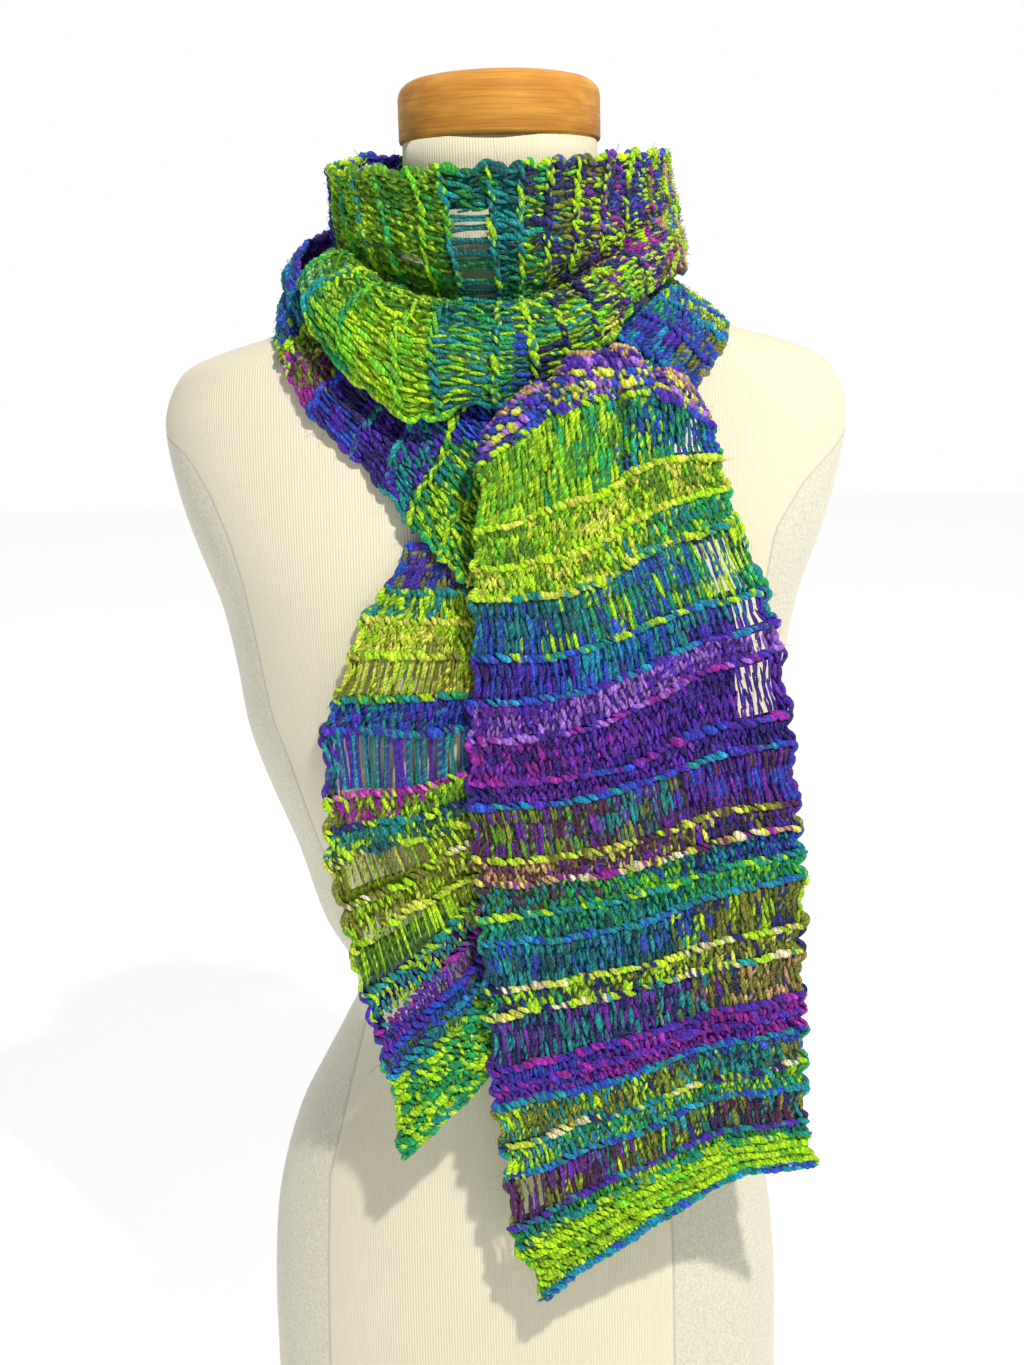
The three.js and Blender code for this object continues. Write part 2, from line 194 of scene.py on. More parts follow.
# The cloth and its stitches
GRID = (240, 64)     # steps of a stretch's surface along and across it
CLOTH_MIDDLE = 1.5   # height of the cloth's middle above the surface of its inner face
CLOTH_WALL = 0.8
CLOTH_STEP = 4.5
CLOTH_LENGTH = (0.003, 0.997)    # the shares of a stretch that its cloth covers
CLOTH_WIDTH = (0.004, 0.996)
STITCH = 3.85        # width of one stitch
LOOP_ROW = 5.0       # from one row of loops to the next on the reverse
SHORT_TIER = 6.2     # height of a tier of plain stitches
TALL_TIER = 10.0     # and of a tier of long ones
GARTER_ROW = 5.2     # from one garter ridge to the next
GARTER_OVERLAP = 0.1
RIDGE_STRAY = 1.05   # how far a ridge strays from its straight line
STRAY_PLACES = np.linspace(0, 1, 9)
DROP_ACROSS = np.linspace(1, -0.35, 9)   # shares of a ridge's drop, from its left edge
NO_ROW = -1          # a row at which nothing is open

# The bumps of a garter ridge. A pair is a size and how unevenly it comes out.
BUMP_RADIUS = 1.55
BUMP_YARN = (0.18, 0.1)      # how much its thickness varies, and its share of slubs
BUMP_PLACE = 0.12            # how unevenly the bumps lie, in stitches
BUMP_REACH = (0.74, 0.1)     # half the length of a bump, in stitches
BUMP_SLANT = (1.25, 0.35)
BUMP_STRAY = (0, 0.3)
BUMP_HEIGHT = 2.1            # of its ends above the inner face
BUMP_RISE = 1.4              # of its middle above its ends
UNEVEN_HEIGHT = (0, 0.25)

# The two legs of a stitch: the near one, and the far one that it half hides
LEG_RADIUS = 1.12
NEAR_LEG = {"side": -1, "points": 4, "height": 1.35, "thickness": 1.0}
FAR_LEG = {"side": 1, "points": 3, "height": 0.8, "thickness": 0.85}
LEG_SPREAD = (0.44, 0.36)    # start from the stitch's middle and narrowing, in stitches
TALL_SPREAD = (0.34, 0.2)
OPEN_SPREAD = 0.16
OPEN_THICKNESS = 0.7
LEG_PLACE = 0.1
LEG_LEAN = (0.16, 0.2)
LEG_STRAY = (0, 0.06)
LEG_OVERLAP = (0.1, 0.18)    # of a tier with the one before and the one after

# The bare legs where stitches were dropped
LADDER_RADIUS = 1.0
LADDER_YARN = 0.25
LADDER_PLACE = 0.16
LADDER_LEAN = (0.1, 0.35)
LADDER_SPREAD = (0.24, 0.12)
LADDER_HEIGHT = 1.7
LADDER_CROSSING = 0.3        # how much higher one leg lies than the other

# The edges: the band that swings out, the chain of loops along it, and the cast edge
EDGE_BAND = 0.3              # share of half the width
LOOP_LENGTH = 6.5
LOOP_HEIGHT = 1.9
LOOP_RISE = 0.8
LOOP_STRAY = (-0.3, 0.3)
LOOP_OVERLAP = 0.15
CAST_BUMPS = 0.75            # bumps to a stitch
CAST_SIZE = 1.1
CAST_RISE = 0.9
CAST_SLANT = 1.3
CAST_REACH = 0.95            # half the length of a cast bump, in bumps
HEM_PLACE = 0.995            # share of the length where the cast edge lies

# The yarn
YARN_SIDES = 5
TWIST = 4.8          # length of yarn in which its two plies go once round
THICKNESS = (0.62, 1.45)     # the thinnest and the thickest plain yarn
SLUB = 1.4           # how much thicker a slub is
PLY_SHADES = (0.6, 0.8, 1.25, 1.5)
SHADE_SPREAD = 0.16
SHADES = (0.6, 1.4)          # the darkest and the lightest shade of a colour
MIX_BLUR = 0.09      # how far the mixes of yarn run into each other, in widths of the cloth
HAIRS = 0.07         # loose hairs in a square millimetre
HAIR_SIDES = 3
HAIR_RADIUS = (0.12, 0.05)   # at its root, and how much thinner it ends
HAIR_ROOT = 2.4      # height above the inner face
HAIR_BOW = 3.6
HAIR_TIP = 1.2
HAIR_REACH = 3.2
HAIR_CURL = 2.2
HAIR_SHADE = (0.9, 0.06)     # share of the yarn's colour, and the pale that is added
# Loose hairs lying on the wool are painted paler and lighter than the yarn: partly pale fibre and partly painted
# highlight
PALE_HAIR = (0.75, 0.74, 0.7, 1)
LIT_HAIR = (1.7, 1.7, 1.7, 1)

# How fine the patterns of the materials are, in patches to a metre
LYING_HAIRS = ((260.0, 0.022), (430.0, 0.03))   # with the breadth of the lines
WOOL_FIBRES = 1100.0
LOOP_SPECKLES = 420.0
JERSEY_FIBRES = 700.0
JERSEY_FLECKS = 620.0
JERSEY_PATCHES = 14.0
WOOD_LINES = 30.0
WOOD_PORES = 160.0
WOOD_BANDS = 12.0

# The form's rings, and the colours of its jersey and its wood
RING_SIDES = 96
FORM_LEVELS = 116
JERSEY_RIB = 1.6     # width of one rib of the jersey
CREAM = (0.86, 0.80, 0.625, 1)
# The rib grooves are painted darker, as painted shade in the grooves
RIB_GROOVE_SHADE = (0.78, 0.715, 0.54, 1)
CREAM_PATCH = (0.78, 0.72, 0.55, 1)
# The side panels' grey is partly their own greyer melange and partly painted shade of the form's shaded sides
PANEL_DARK_AND_SHADE = (0.66, 0.63, 0.505, 1)
PANEL_LIGHT_AND_SHADE = (0.80, 0.765, 0.615, 1)
SEAM_LINE = (0.50, 0.465, 0.385, 1)
WOOD_DARK = (0.56, 0.225, 0.03, 1)
WOOD_LIGHT = (0.76, 0.37, 0.068, 1)
WOOD_LINE = (0.42, 0.17, 0.045, 1)
WOOD_PORE = (0.30, 0.12, 0.03, 1)

COLOURS = {
    "lime": "b0e410",
    "grass": "6fc81e",
    "yellow": "d6de4c",
    "moss": "5d9a16",
    "green": "27902c",
    "emerald": "12a05a",
    "teal": "048c8e",
    "deep": "0a5a5c",
    "cyan": "0c90c0",
    "blue": "1f49c4",
    "navy": "1b1f6a",
    "violet": "4a1fae",
    "indigo": "2c1180",
    "purple": "6a1fa8",
    "lilac": "a26cd6",
    "magenta": "9e1aa2",
    "pink": "d868bc",
    "plum": "56204f",
    "olive": "7d8424",
    "tan": "c8a06c",
    "cream": "e6ddb2",
}


def table(names, rows):
    """Columns of numbers under their names."""
    return dict(zip(names.split(), np.array(rows, float).T))


def word_table(names, rows):
    """Rows of mixed numbers and words under their columns' names."""
    return [dict(zip(names.split(), row)) for row in rows]


# The dress form: half its width, and its depth before and behind, at each height
FORM = table("z half front back", [
    [0, 156, 107.5, 112.5],
    [3, 157.5, 109, 114],
    [40, 158, 110, 115],
    [90, 158, 110, 116],
    [140, 157, 108, 115],
    [190, 152, 102, 110],
    [236, 139, 95, 99],
    [269, 122, 90, 88],
    [295, 108, 87, 79],
    [318, 98, 86, 74],
    [345, 102, 88, 74],
    [373, 117, 94, 76],
    [418, 130, 105, 82],
    [455, 144, 113, 87],
    [490, 155, 116, 91],
    [525, 160, 114, 94],
    [560, 167, 108, 96],
    [590, 178, 100, 96],
    [618, 187, 91, 94],
    [646, 193, 81, 90],
    [666, 194, 74, 86],
    [683, 188, 68, 82],
    [694, 178, 65, 79],
    [702, 158, 63, 77],
    [710, 131, 62, 74],
    [717, 112, 61, 70],
    [724, 90, 60, 66],
    [733, 68, 58, 62],
    [745, 59, 56, 57],
    [765, 55.5, 54, 54],
    [812, 54, 53, 53],
])
FORM_ROUNDNESS = 2.3

# The seams between the front and the sides of the jersey cover: distance from the middle
SIDE_SEAMS = table("z left right", [
    [0, 119, 87],
    [122, 117, 86],
    [176, 116, 86],
    [225, 114, 85],
    [282, 99, 82],
    [330, 86, 82],
    [400, 101, 100],
    [482, 124, 124],
    [504, 133, 132],
    [549, 141, 137],
    [576, 146, 140],
    [601, 153, 145],
    [626, 164, 163],
    [646, 177, 187],
    [660, 196, 202],
    [812, 260, 260],
])

CAP_PROFILE = table("radius z", [
    [0, 812.3],
    [54.5, 812.3],
    [55.6, 812.9],
    [56, 814.3],
    [56, 836],
    [55.4, 839],
    [54, 841.4],
    [51.8, 843.5],
    [49, 845],
    [43, 846.4],
    [36, 847.2],
    [20, 847.8],
    [0, 848],
])

# The wrap's front: radius and height of its top edge, wall, valley, roll and hem by direction
NECK_COLUMNS = "turn topR topZ wallR wallZ valleyR valleyZ rollR rollZ hemR hemZ"
COWL = table(NECK_COLUMNS, [
    [-120, 89, 811, 89, 788, 90, 766, 91, 748, 91, 731],
    [-95, 92, 802, 92, 780, 93, 759, 98, 746, 99, 733],
    [-78, 93, 798, 91, 774, 91, 754, 98, 744, 99, 732],
    [-65, 94, 795, 90, 770, 86, 748, 111, 746, 115, 734],
    [-52, 92, 794, 85, 766, 79, 737, 117, 728, 117, 704],
    [-30, 88, 792, 79, 757, 71, 727, 108, 707, 104, 669],
    [-12, 86, 792, 77, 756, 69, 723, 104, 706, 98, 674],
    [6, 85, 793, 77, 757, 69, 724, 101, 707, 95, 677],
    [26, 87, 796, 80, 762, 74, 731, 98, 717, 93, 693],
    [46, 90, 799, 84, 770, 82, 746, 98, 739, 94, 722],
    [66, 92, 802, 90, 781, 90, 763, 98, 752, 96, 739],
    [84, 90, 803, 92, 785, 96, 768, 99, 755, 99, 742],
    [100, 88, 804, 92, 787, 96, 769, 98, 756, 99, 742],
])
INNER_BAND = table(NECK_COLUMNS, [
    [115, 78, 776, 79, 763, 85, 751, 88, 738, 93, 727],
    [145, 68, 789, 67, 771, 73, 757, 73, 742, 78, 729],
    [180, 65, 801, 64, 782, 69, 765, 69, 748, 73, 732],
    [212, 73, 809, 72, 788, 76, 769, 77, 750, 79, 733],
    [240, 89, 811, 89, 788, 90, 766, 91, 748, 91, 731],
])
OUTER_BAND = table(NECK_COLUMNS, [
    [100, 88, 804, 92, 787, 96, 769, 98, 756, 99, 742],
    [130, 85, 803, 87, 783, 92, 765, 93, 748, 98, 731],
    [160, 79, 799, 81, 779, 87, 760, 86, 742, 93, 724],
    [190, 79, 796, 81, 776, 87, 757, 86, 738, 93, 720],
    [218, 88, 786, 89, 769, 94, 753, 97, 735, 102, 717],
    [238, 98, 774, 101, 761, 105, 747, 109, 732, 114, 716],
])

# The strands over the shoulders: upper edge, middle and lower edge of the cloth
STRAND_COLUMNS = "upX upY upZ midX midY midZ lowX lowY lowZ"
LEFT_STRAND = table(STRAND_COLUMNS, [
    [-83.1, 51.9, 774, -89, 55.6, 747, -96.7, 60.4, 716],
    [-99, 25, 766, -108, 28, 742, -117, 31, 716],
    [-109, -4, 758, -118, -4, 738, -121, -5, 716],
    [-111, -22, 748, -118, -25, 730, -122, -29, 711],
    [-99, -42, 722, -110, -46.5, 712, -120, -50.5, 700],
    [-84, -54, 716, -98, -57.5, 703.5, -115, -58, 689],
    [-62, -68, 705, -82, -69.5, 684, -99, -70.5, 664],
    [-37, -78, 693, -56, -79, 664, -71, -82, 638],
    [-10, -86, 680, -29, -94, 643, -46, -101.5, 608],
    [14, -92, 668, 0, -100, 625, -22, -111.7, 585],
    [33, -96, 655, 24, -104, 613, 8, -113, 578],
])
RIGHT_STRAND = table(STRAND_COLUMNS, [
    [70.7, 33, 776, 77, 36, 751, 84.3, 39.3, 727],
    [80, 10, 750, 96, 12, 731, 112, 14, 718],
    [86, -16, 736, 104, -16, 725, 119, -20, 714],
    [84, -40, 726, 103, -43, 716, 119, -48, 704],
    [70, -57, 716, 91, -58, 704, 109, -59, 690],
    [50, -65, 703, 75, -67, 688, 95, -68, 673],
    [28, -70, 686, 52, -77, 660, 72, -83, 637],
    [4, -77, 664, 26, -86.5, 636, 46, -95.5, 607],
    [-24, -84.5, 640, 4, -94, 616, 26, -102, 592],
    [-50, -94.3, 607, -9, -99.5, 602, 28, -103, 586],
])

# The tails: edges, height at the left, climb to the right, how late it climbs, how much it
# arches, and its distance before the neck's axis
TAIL_COLUMNS = "left right z climb late arch ahead"
FRONT_TAIL = table(TAIL_COLUMNS, [
    [4, 88, 637, 15, 1, 34, 109],
    [-5, 94, 652, 14, 1, 33, 110.5],
    [-10, 97, 658, 12, 1, 32, 117],
    [-12, 101, 650, 14, 1, 28, 124],
    [-13, 104, 633, 24, 1, 19, 125.5],
    [-15, 106, 611, 36, 1, 8, 124.5],
    [-18, 113, 583, 38, 1, 0, 124],
    [-18, 130, 545, 33, 1, 0, 123.4],
    [-21, 138, 502, 44, 1, 0, 123.4],
    [-22, 144, 468, 32, 1, 0, 125],
    [-20, 148, 430, 28, 1, 0, 127.5],
    [-18, 151, 392, 33, 0.9, 0, 129],
    [-15, 150, 352, 32, 0.7, 0, 129],
    [-14, 152, 312, 41, 0.4, 0, 129],
    [-9, 153, 270, 47, 0.2, 1, 129],
    [-4, 154, 221, 62, 0, 3, 128],
    [12, 160, 182, 76, 0, 6, 128],
])
LEFT_TAIL = table(TAIL_COLUMNS, [
    [-51, 29, 602, -20, 0, 6, 101.8],
    [-65, 42, 578, -8, 0, 3, 106],
    [-76, 52, 564, -4, 0, 0, 108.4],
    [-83, 56, 546, -2, 0, 0, 111.6],
    [-92, 54, 522, 2, 0, 0, 114.3],
    [-100, 46, 503, 5, 0, 0, 115.5],
    [-99, 42, 469, 20, 0, 0, 116.6],
    [-100, 42, 438, 32, 0, 0, 118],
    [-95, 46, 416, 50, 0, 0, 119],
    [-90, 50, 390, 62, 0, 0, 120],
    [-82, 56, 352, 84, 0, 0, 121],
    [-73, 62, 320, 92, 0, 0, 122],
    [-65, 66, 264, 112, 0, 0, 122],
])
STATION_COLUMNS = "across climb lateClimb arch bow"
FRONT_TAIL_STATIONS = table(STATION_COLUMNS, [
    [0, 0, 0, 0, 0],
    [0.25, 0.32, 0.06, 0.75, 1.5],
    [0.5, 0.62, 0.32, 1, 2.5],
    [0.75, 0.9, 0.75, 0.75, 1],
    [1, 1, 1, 0, -1],
])
LEFT_TAIL_STATIONS = table(STATION_COLUMNS, [
    [0, 0, 0, 0, -4],
    [0.25, 0.3, 0.3, 0.75, 0],
    [0.5, 0.6, 0.6, 1, 1],
    [0.75, 0.85, 0.85, 0.75, 1],
    [1, 1, 1, 0, 0.5],
])

# Soft pleats and creases, as shares of the length and of the width, and how far they stand out
PLEAT_COLUMNS = "start end at width lift"
COWL_PLEATS = table(PLEAT_COLUMNS, [
    [0.08, 0.8, 0.62, 0.07, -8],
    [0.08, 0.8, 0.47, 0.06, 5],
    [0.1, 0.75, 0.1, 0.07, 2],
    [0.55, 0.95, 0.32, 0.07, -4],
    [0.15, 0.6, 0.9, 0.06, -3],
])
BAND_PLEATS = table(PLEAT_COLUMNS, [
    [0, 0.7, 0.3, 0.09, 2.5],
    [0.3, 1, 0.68, 0.1, 2.5],
])
LEFT_STRAND_PLEATS = table(PLEAT_COLUMNS, [
    [0.1, 1, 0.27, 0.09, -3],
    [0, 0.85, 0.5, 0.08, 3.5],
    [0.25, 1, 0.74, 0.08, -2.5],
])
NO_PLEATS = table(PLEAT_COLUMNS, [[0, 1, 0.5, 1, 0]])
FRONT_TAIL_PLEATS = table(PLEAT_COLUMNS, [
    [0.0, 0.2, 0.77, 0.045, -11],
    [0.0, 0.2, 0.64, 0.08, 4],
    [0.0, 0.2, 0.89, 0.06, 4],
    [0.0, 0.22, 0.3, 0.05, -8],
    [0.15, 0.36, 0.61, 0.045, -8],
    [0.19, 0.4, 0.24, 0.05, -5],
    [0.08, 0.3, 0.82, 0.06, 4],
    [0.06, 0.26, 0.44, 0.07, 4],
    [0.4, 0.98, 0.06, 0.06, 3],
    [0.3, 0.62, 0.38, 0.12, 3],
    [0.3, 0.7, 0.9, 0.06, 3],
    [0.55, 0.95, 0.62, 0.08, -3.5],
    [0.5, 0.9, 0.3, 0.07, -3],
    [0.66, 1, 0.84, 0.07, 3.5],
])
LEFT_TAIL_PLEATS = table(PLEAT_COLUMNS, [
    [0.35, 0.75, 0.12, 0.07, -3],
    [0.55, 0.98, 0.4, 0.07, -3],
    [0.1, 0.9, 0.66, 0.09, 2.5],
    [0.3, 1, 0.3, 0.1, 2.5],
])
PLEAT_ENDS = 0.7     # power of the fade towards a pleat's ends: a smaller one is blunter

# How far the ridges drop at the left edge, by row
SLANT_COLUMNS = "row drop"
LEFT_TAIL_SLANT = table(SLANT_COLUMNS, [
    [7, 0],
    [8.7, 10],
    [9.8, 20],
    [10.6, 20],
    [11.2, 8],
    [11.9, 0],
])
NO_SLANT = table(SLANT_COLUMNS, [[0, 0]])

# The knitting of each stretch, course by course. row is the place in the stretch's own table
# where a garter ridge lies, then come the yarns of that ridge, the yarns of the stitches after
# it at three places across the cloth, and the kind of those stitches: short ones, long ones,
# garter with more ridges, or an open ladder.
STRIPE_COLUMNS = "row ridge first second third kind"
THIRDS = ("first", "second", "third")
FRONT_TAIL_STRIPES = word_table(STRIPE_COLUMNS, [
    (0.0, "teal blue", "violet blue", "violet teal", "teal blue", "garter"),
    (1.3, "violet plum", "violet blue", "violet tan blue", "plum tan teal", "garter"),
    (2.1, "violet tan", "violet blue teal", "tan violet lilac", "tan plum yellow", "garter"),
    (2.7, "blue violet yellow", "violet plum blue", "blue lilac yellow", "tan olive teal", "garter"),
    (3.3, "blue lime violet", "lime moss grass lime",
     "lime emerald grass", "teal blue emerald", "long"),
    (5.0, "lime yellow", "lime moss grass lime", "lime yellow lime moss", "lime moss yellow", "short"),
    (5.71, "lime yellow", "lime moss yellow", "lime yellow moss", "lime emerald teal", "short"),
    (6.21, "lime teal yellow", "teal deep blue",
     "teal blue emerald lime", "teal emerald blue lime", "long"),
    (7.0, "teal cyan blue lime", "indigo violet blue", "teal blue cyan", "blue violet teal", "long"),
    (7.53, "violet cyan blue", "violet lilac purple", "lilac violet", "lilac violet", "short"),
    (8.0, "violet lilac magenta", "purple magenta indigo",
     "purple indigo violet", "violet indigo purple", "short"),
    (8.71, "violet magenta blue purple", "indigo purple",
     "indigo violet purple", "indigo navy violet", "short"),
    (9.05, "blue teal cyan violet", "plum moss purple olive",
     "olive purple teal plum", "purple plum violet blue", "long"),
    (9.8, "yellow plum lime olive", "plum olive tan",
     "purple olive yellow plum", "olive violet navy plum", "short"),
    (10.15, "cream magenta yellow tan plum", "plum teal green",
     "teal emerald grass", "blue navy teal", "short"),
    (10.6, "teal emerald lime", "emerald teal deep",
     "emerald teal deep", "emerald teal grass", "short"),
    (11.0, "blue cyan teal", "teal blue deep", "teal blue deep", "olive navy lime", "long"),
    (11.65, "yellow cream navy lime", "navy lime emerald",
     "lime navy olive", "olive navy yellow", "short"),
    (12.0, "cream yellow navy lime teal", "purple navy teal",
     "teal purple navy", "olive tan navy", "long"),
    (12.8, "violet magenta", "violet blue", "violet magenta", "magenta purple", "short"),
    (13.06, "magenta violet", "magenta violet blue", "magenta purple", "violet magenta", "short"),
    (13.35, "blue cyan teal", "lime olive teal",
     "olive teal navy lime", "teal blue emerald olive", "short"),
    (13.88, "cream yellow teal navy lime", "teal emerald cyan lime",
     "teal emerald lime", "teal emerald lime", "short"),
    (14.29, "teal cyan blue", "plum purple olive",
     "plum olive lime teal", "olive navy teal plum", "long"),
    (14.9, "violet teal", "green teal", "lime emerald", "green teal", "short"),
    (15.15, "teal emerald lime", "lime lime moss", "lime lime lime grass", "lime grass lime", "garter"),
    (15.95, "blue teal cyan", "lime", "lime", "lime", "garter"),
])
LEFT_TAIL_STRIPES = word_table(STRIPE_COLUMNS, [
    (0.0, "violet blue", "violet blue olive", "purple olive", "olive plum", "short"),
    (1.0, "teal lime", "teal lime", "lime moss yellow", "lime olive", "short"),
    (2.0, "lime yellow", "lime yellow", "lime olive", "lime moss", "short"),
    (3.0, "yellow olive lime", "yellow lime olive", "yellow olive", "olive plum", "long"),
    (4.0, "teal lime emerald", "blue teal violet", "blue indigo", "violet teal", "short"),
    (5.0, "blue violet teal", "violet teal", "violet teal purple", "violet teal", "open"),
    (6.0, "magenta lime pink", "lime olive magenta", "lime moss", "lime teal", "short"),
    (6.55, "lime navy teal", "lime teal", "lime deep", "teal lime", "short"),
    (7.1, "lime deep yellow", "lime yellow olive", "lime olive", "lime emerald", "long"),
    (8.0, "cream lime olive", "lime olive", "yellow lime olive", "lime yellow", "short"),
    (8.7, "lime yellow", "lime moss", "lime olive", "lime olive", "long"),
    (9.3, "teal lime", "teal lime", "olive teal", "lime olive", "short"),
    (9.75, "purple magenta teal", "violet purple", "purple plum", "violet magenta", "short"),
    (10.2, "blue violet", "violet blue", "blue violet", "violet blue", "short"),
    (10.55, "blue cyan teal", "teal blue", "teal lime", "teal emerald", "short"),
    (10.95, "teal lime", "lime emerald", "emerald lime", "lime moss", "garter"),
    (11.9, "emerald lime", "emerald", "emerald", "emerald", "garter"),
])
COWL_STRIPES = word_table(STRIPE_COLUMNS, [
    (0.0, "violet blue", "lime blue", "violet blue", "violet lilac", "short"),
    (0.8, "teal blue", "lime emerald", "violet blue", "violet blue teal", "short"),
    (1.6, "blue violet", "lime moss", "lime teal violet", "violet cyan blue", "short"),
    (2.3, "lime moss", "lime moss", "moss lime", "teal emerald violet", "short"),
    (3.0, "grass emerald", "lime grass", "moss lime green", "teal lime grass", "short"),
    (3.7, "lime teal", "lime moss", "green moss lime", "grass lime emerald", "short"),
    (4.3, "grass emerald", "moss lime green", "green moss lime", "lime grass lime", "short"),
    (5.0, "lime grass", "lime green moss", "moss green lime", "lime grass", "short"),
    (5.5, "teal grass", "deep teal green", "deep teal green", "teal cyan emerald grass lime", "open"),
    (6.55, "teal deep lime", "teal deep", "deep emerald teal", "teal emerald blue lime", "short"),
    (7.1, "lime teal", "lime emerald navy", "emerald teal lime", "teal grass lime navy", "short"),
    (7.6, "lime navy", "olive grass navy blue", "lime olive navy", "lime teal grass", "short"),
    (8.1, "navy lime", "purple olive navy lime",
     "lime violet navy olive", "navy grass yellow", "short"),
    (8.6, "olive purple lime", "navy lime purple blue",
     "magenta lime navy olive", "lime grass navy", "short"),
    (9.1, "navy olive lime", "blue lime navy violet",
     "magenta lime purple plum", "lime purple navy", "short"),
    (9.7, "magenta lime olive", "navy blue tan lime",
     "pink navy lime blue", "plum lime magenta", "short"),
    (10.2, "olive tan lime", "blue tan navy lime", "lime blue teal", "magenta lime plum", "short"),
    (10.8, "tan lime", "tan lime lime", "lime teal blue", "teal lime magenta", "short"),
    (11.4, "lime moss", "lime tan", "blue lime teal", "lime blue", "short"),
    (11.95, "teal blue", "blue lime", "blue teal", "blue teal", "short"),
])
BAND_STRIPES = word_table(STRIPE_COLUMNS, [
    (0.0, "blue teal", "blue teal", "blue violet", "lime teal", "short"),
    (0.5, "lime teal", "teal lime", "emerald teal", "lime emerald", "short"),
    (1.0, "lime yellow", "lime moss", "lime emerald", "lime yellow", "long"),
    (1.5, "violet teal", "violet navy", "violet blue", "navy violet", "short"),
    (2.0, "magenta violet", "purple magenta", "violet purple", "purple lilac", "short"),
    (2.5, "blue cyan", "blue cyan", "teal blue", "blue violet", "long"),
    (3.0, "teal lime", "teal emerald", "emerald lime", "teal lime", "short"),
    (3.5, "violet blue", "violet blue", "blue lilac", "violet cyan", "short"),
    (4.0, "violet teal", "lime teal", "violet teal", "blue teal", "short"),
    (4.5, "teal lime", "teal lime", "teal blue", "lime teal", "short"),
    (4.95, "violet blue", "violet blue", "violet blue", "violet blue", "short"),
])
LEFT_STRAND_STRIPES = word_table(STRIPE_COLUMNS, [
    (0.0, "violet blue", "violet blue", "blue teal", "blue violet", "short"),
    (1.0, "violet lilac", "violet lilac", "violet blue", "teal blue", "short"),
    (1.8, "violet lilac", "lilac violet blue", "violet cyan", "blue teal", "short"),
    (2.6, "cyan teal", "cyan violet blue", "blue cyan teal", "teal blue", "short"),
    (3.4, "teal blue", "teal cyan", "blue teal", "teal blue lime", "short"),
    (4.2, "olive lime", "olive purple", "olive plum lime", "lime purple magenta", "short"),
    (5.0, "olive plum yellow", "olive tan plum", "olive plum", "olive magenta", "short"),
    (5.7, "blue violet", "blue violet", "violet navy", "navy blue violet", "long"),
    (6.6, "violet teal", "violet blue", "indigo violet", "violet navy", "short"),
    (7.2, "teal violet", "teal violet", "violet teal", "violet teal", "short"),
    (7.8, "green lime", "blue violet", "emerald lime teal", "lime emerald", "short"),
    (8.4, "lime emerald", "violet blue", "green lime", "emerald lime", "short"),
    (9.0, "tan yellow", "blue violet teal", "lime green tan", "tan lime cream", "short"),
    (9.6, "tan olive", "violet tan", "tan olive violet", "cream yellow tan", "short"),
])
RIGHT_STRAND_STRIPES = word_table(STRIPE_COLUMNS, [
    (0.0, "lime teal", "lime emerald", "lime teal", "teal blue", "short"),
    (0.9, "lime emerald", "lime yellow", "teal lime", "blue teal", "short"),
    (1.7, "lime teal", "lime teal", "lime blue teal", "lime blue", "short"),
    (2.5, "blue cyan", "lime teal blue", "blue lime", "olive lime blue", "short"),
    (3.2, "violet cyan", "emerald blue", "violet cyan blue", "blue olive", "short"),
    (3.9, "violet blue", "violet blue cyan", "cyan violet", "olive blue", "long"),
    (4.7, "cyan blue", "violet cyan", "blue cyan lime", "olive blue navy", "short"),
    (5.4, "violet cyan", "violet blue", "cyan violet blue", "olive teal", "short"),
    (6.2, "violet lilac", "violet", "violet blue", "blue olive", "short"),
    (7.0, "violet blue", "violet blue", "violet blue", "violet blue", "short"),
    (8.0, "blue olive", "blue", "violet olive", "olive violet", "short"),
])

# Places where dropped stitches leave the cloth open, in rows of the stretch's table and
# shares of its width
OPEN_COLUMNS = "start end first last"
FRONT_TAIL_OPEN = table(OPEN_COLUMNS, [
    [3.4, 4.9, 0.78, 0.94],
    [6.3, 6.95, 0.82, 0.95],
    [7.05, 7.5, 0.88, 0.97],
    [7.6, 7.95, 0.9, 0.97],
    [8.1, 8.65, 0.84, 0.97],
    [14.35, 14.85, 0.02, 0.12],
])
LEFT_TAIL_OPEN = table(OPEN_COLUMNS, [
    [5.05, 5.95, 0.05, 0.9],
    [3.1, 3.9, 0.04, 0.35],
    [7.2, 7.9, 0.04, 0.35],
    [8.75, 9.25, 0.04, 0.3],
    [10.25, 10.5, 0.05, 0.4],
])
COWL_OPEN = table(OPEN_COLUMNS, [
    [5.55, 6.5, 0.13, 0.5],
    [4.4, 4.9, 0.3, 0.36],
])
NOTHING_OPEN = table(OPEN_COLUMNS, [[0, 0, 0, 0]])


def linear_colour(name):
    """A named colour's linear red, green and blue."""
    code = COLOURS[name]
    srgb = np.array([int(code[i:i + 2], 16) for i in (0, 2, 4)]) / 255
    return np.where(srgb < 0.04045, srgb / 12.92, ((srgb + 0.055) / 1.055) ** 2.4)


def smooth_curve(points, shares):
    """Points of a Catmull-Rom curve through points, at shares of its spans from 0 to 1."""
    before = 2 * points[:1] - points[1:2]
    after = 2 * points[-1:] - points[-2:-1]
    chain = np.concatenate([before, points, after])
    spans = len(points) - 1
    place = np.clip(shares, 0, 1) * spans
    start = np.minimum(place.astype(int), spans - 1)
    t = (place - start).reshape((-1,) + (1,) * (points.ndim - 1))
    p0, p1, p2, p3 = (chain[start + k] for k in range(4))
    m1, m2 = (p2 - p0) / 2, (p3 - p1) / 2
    cubic = (2 * p1 - 2 * p2 + m1 + m2) * t**3
    return cubic + (3 * p2 - 3 * p1 - 2 * m1 - m2) * t**2 + m1 * t + p1


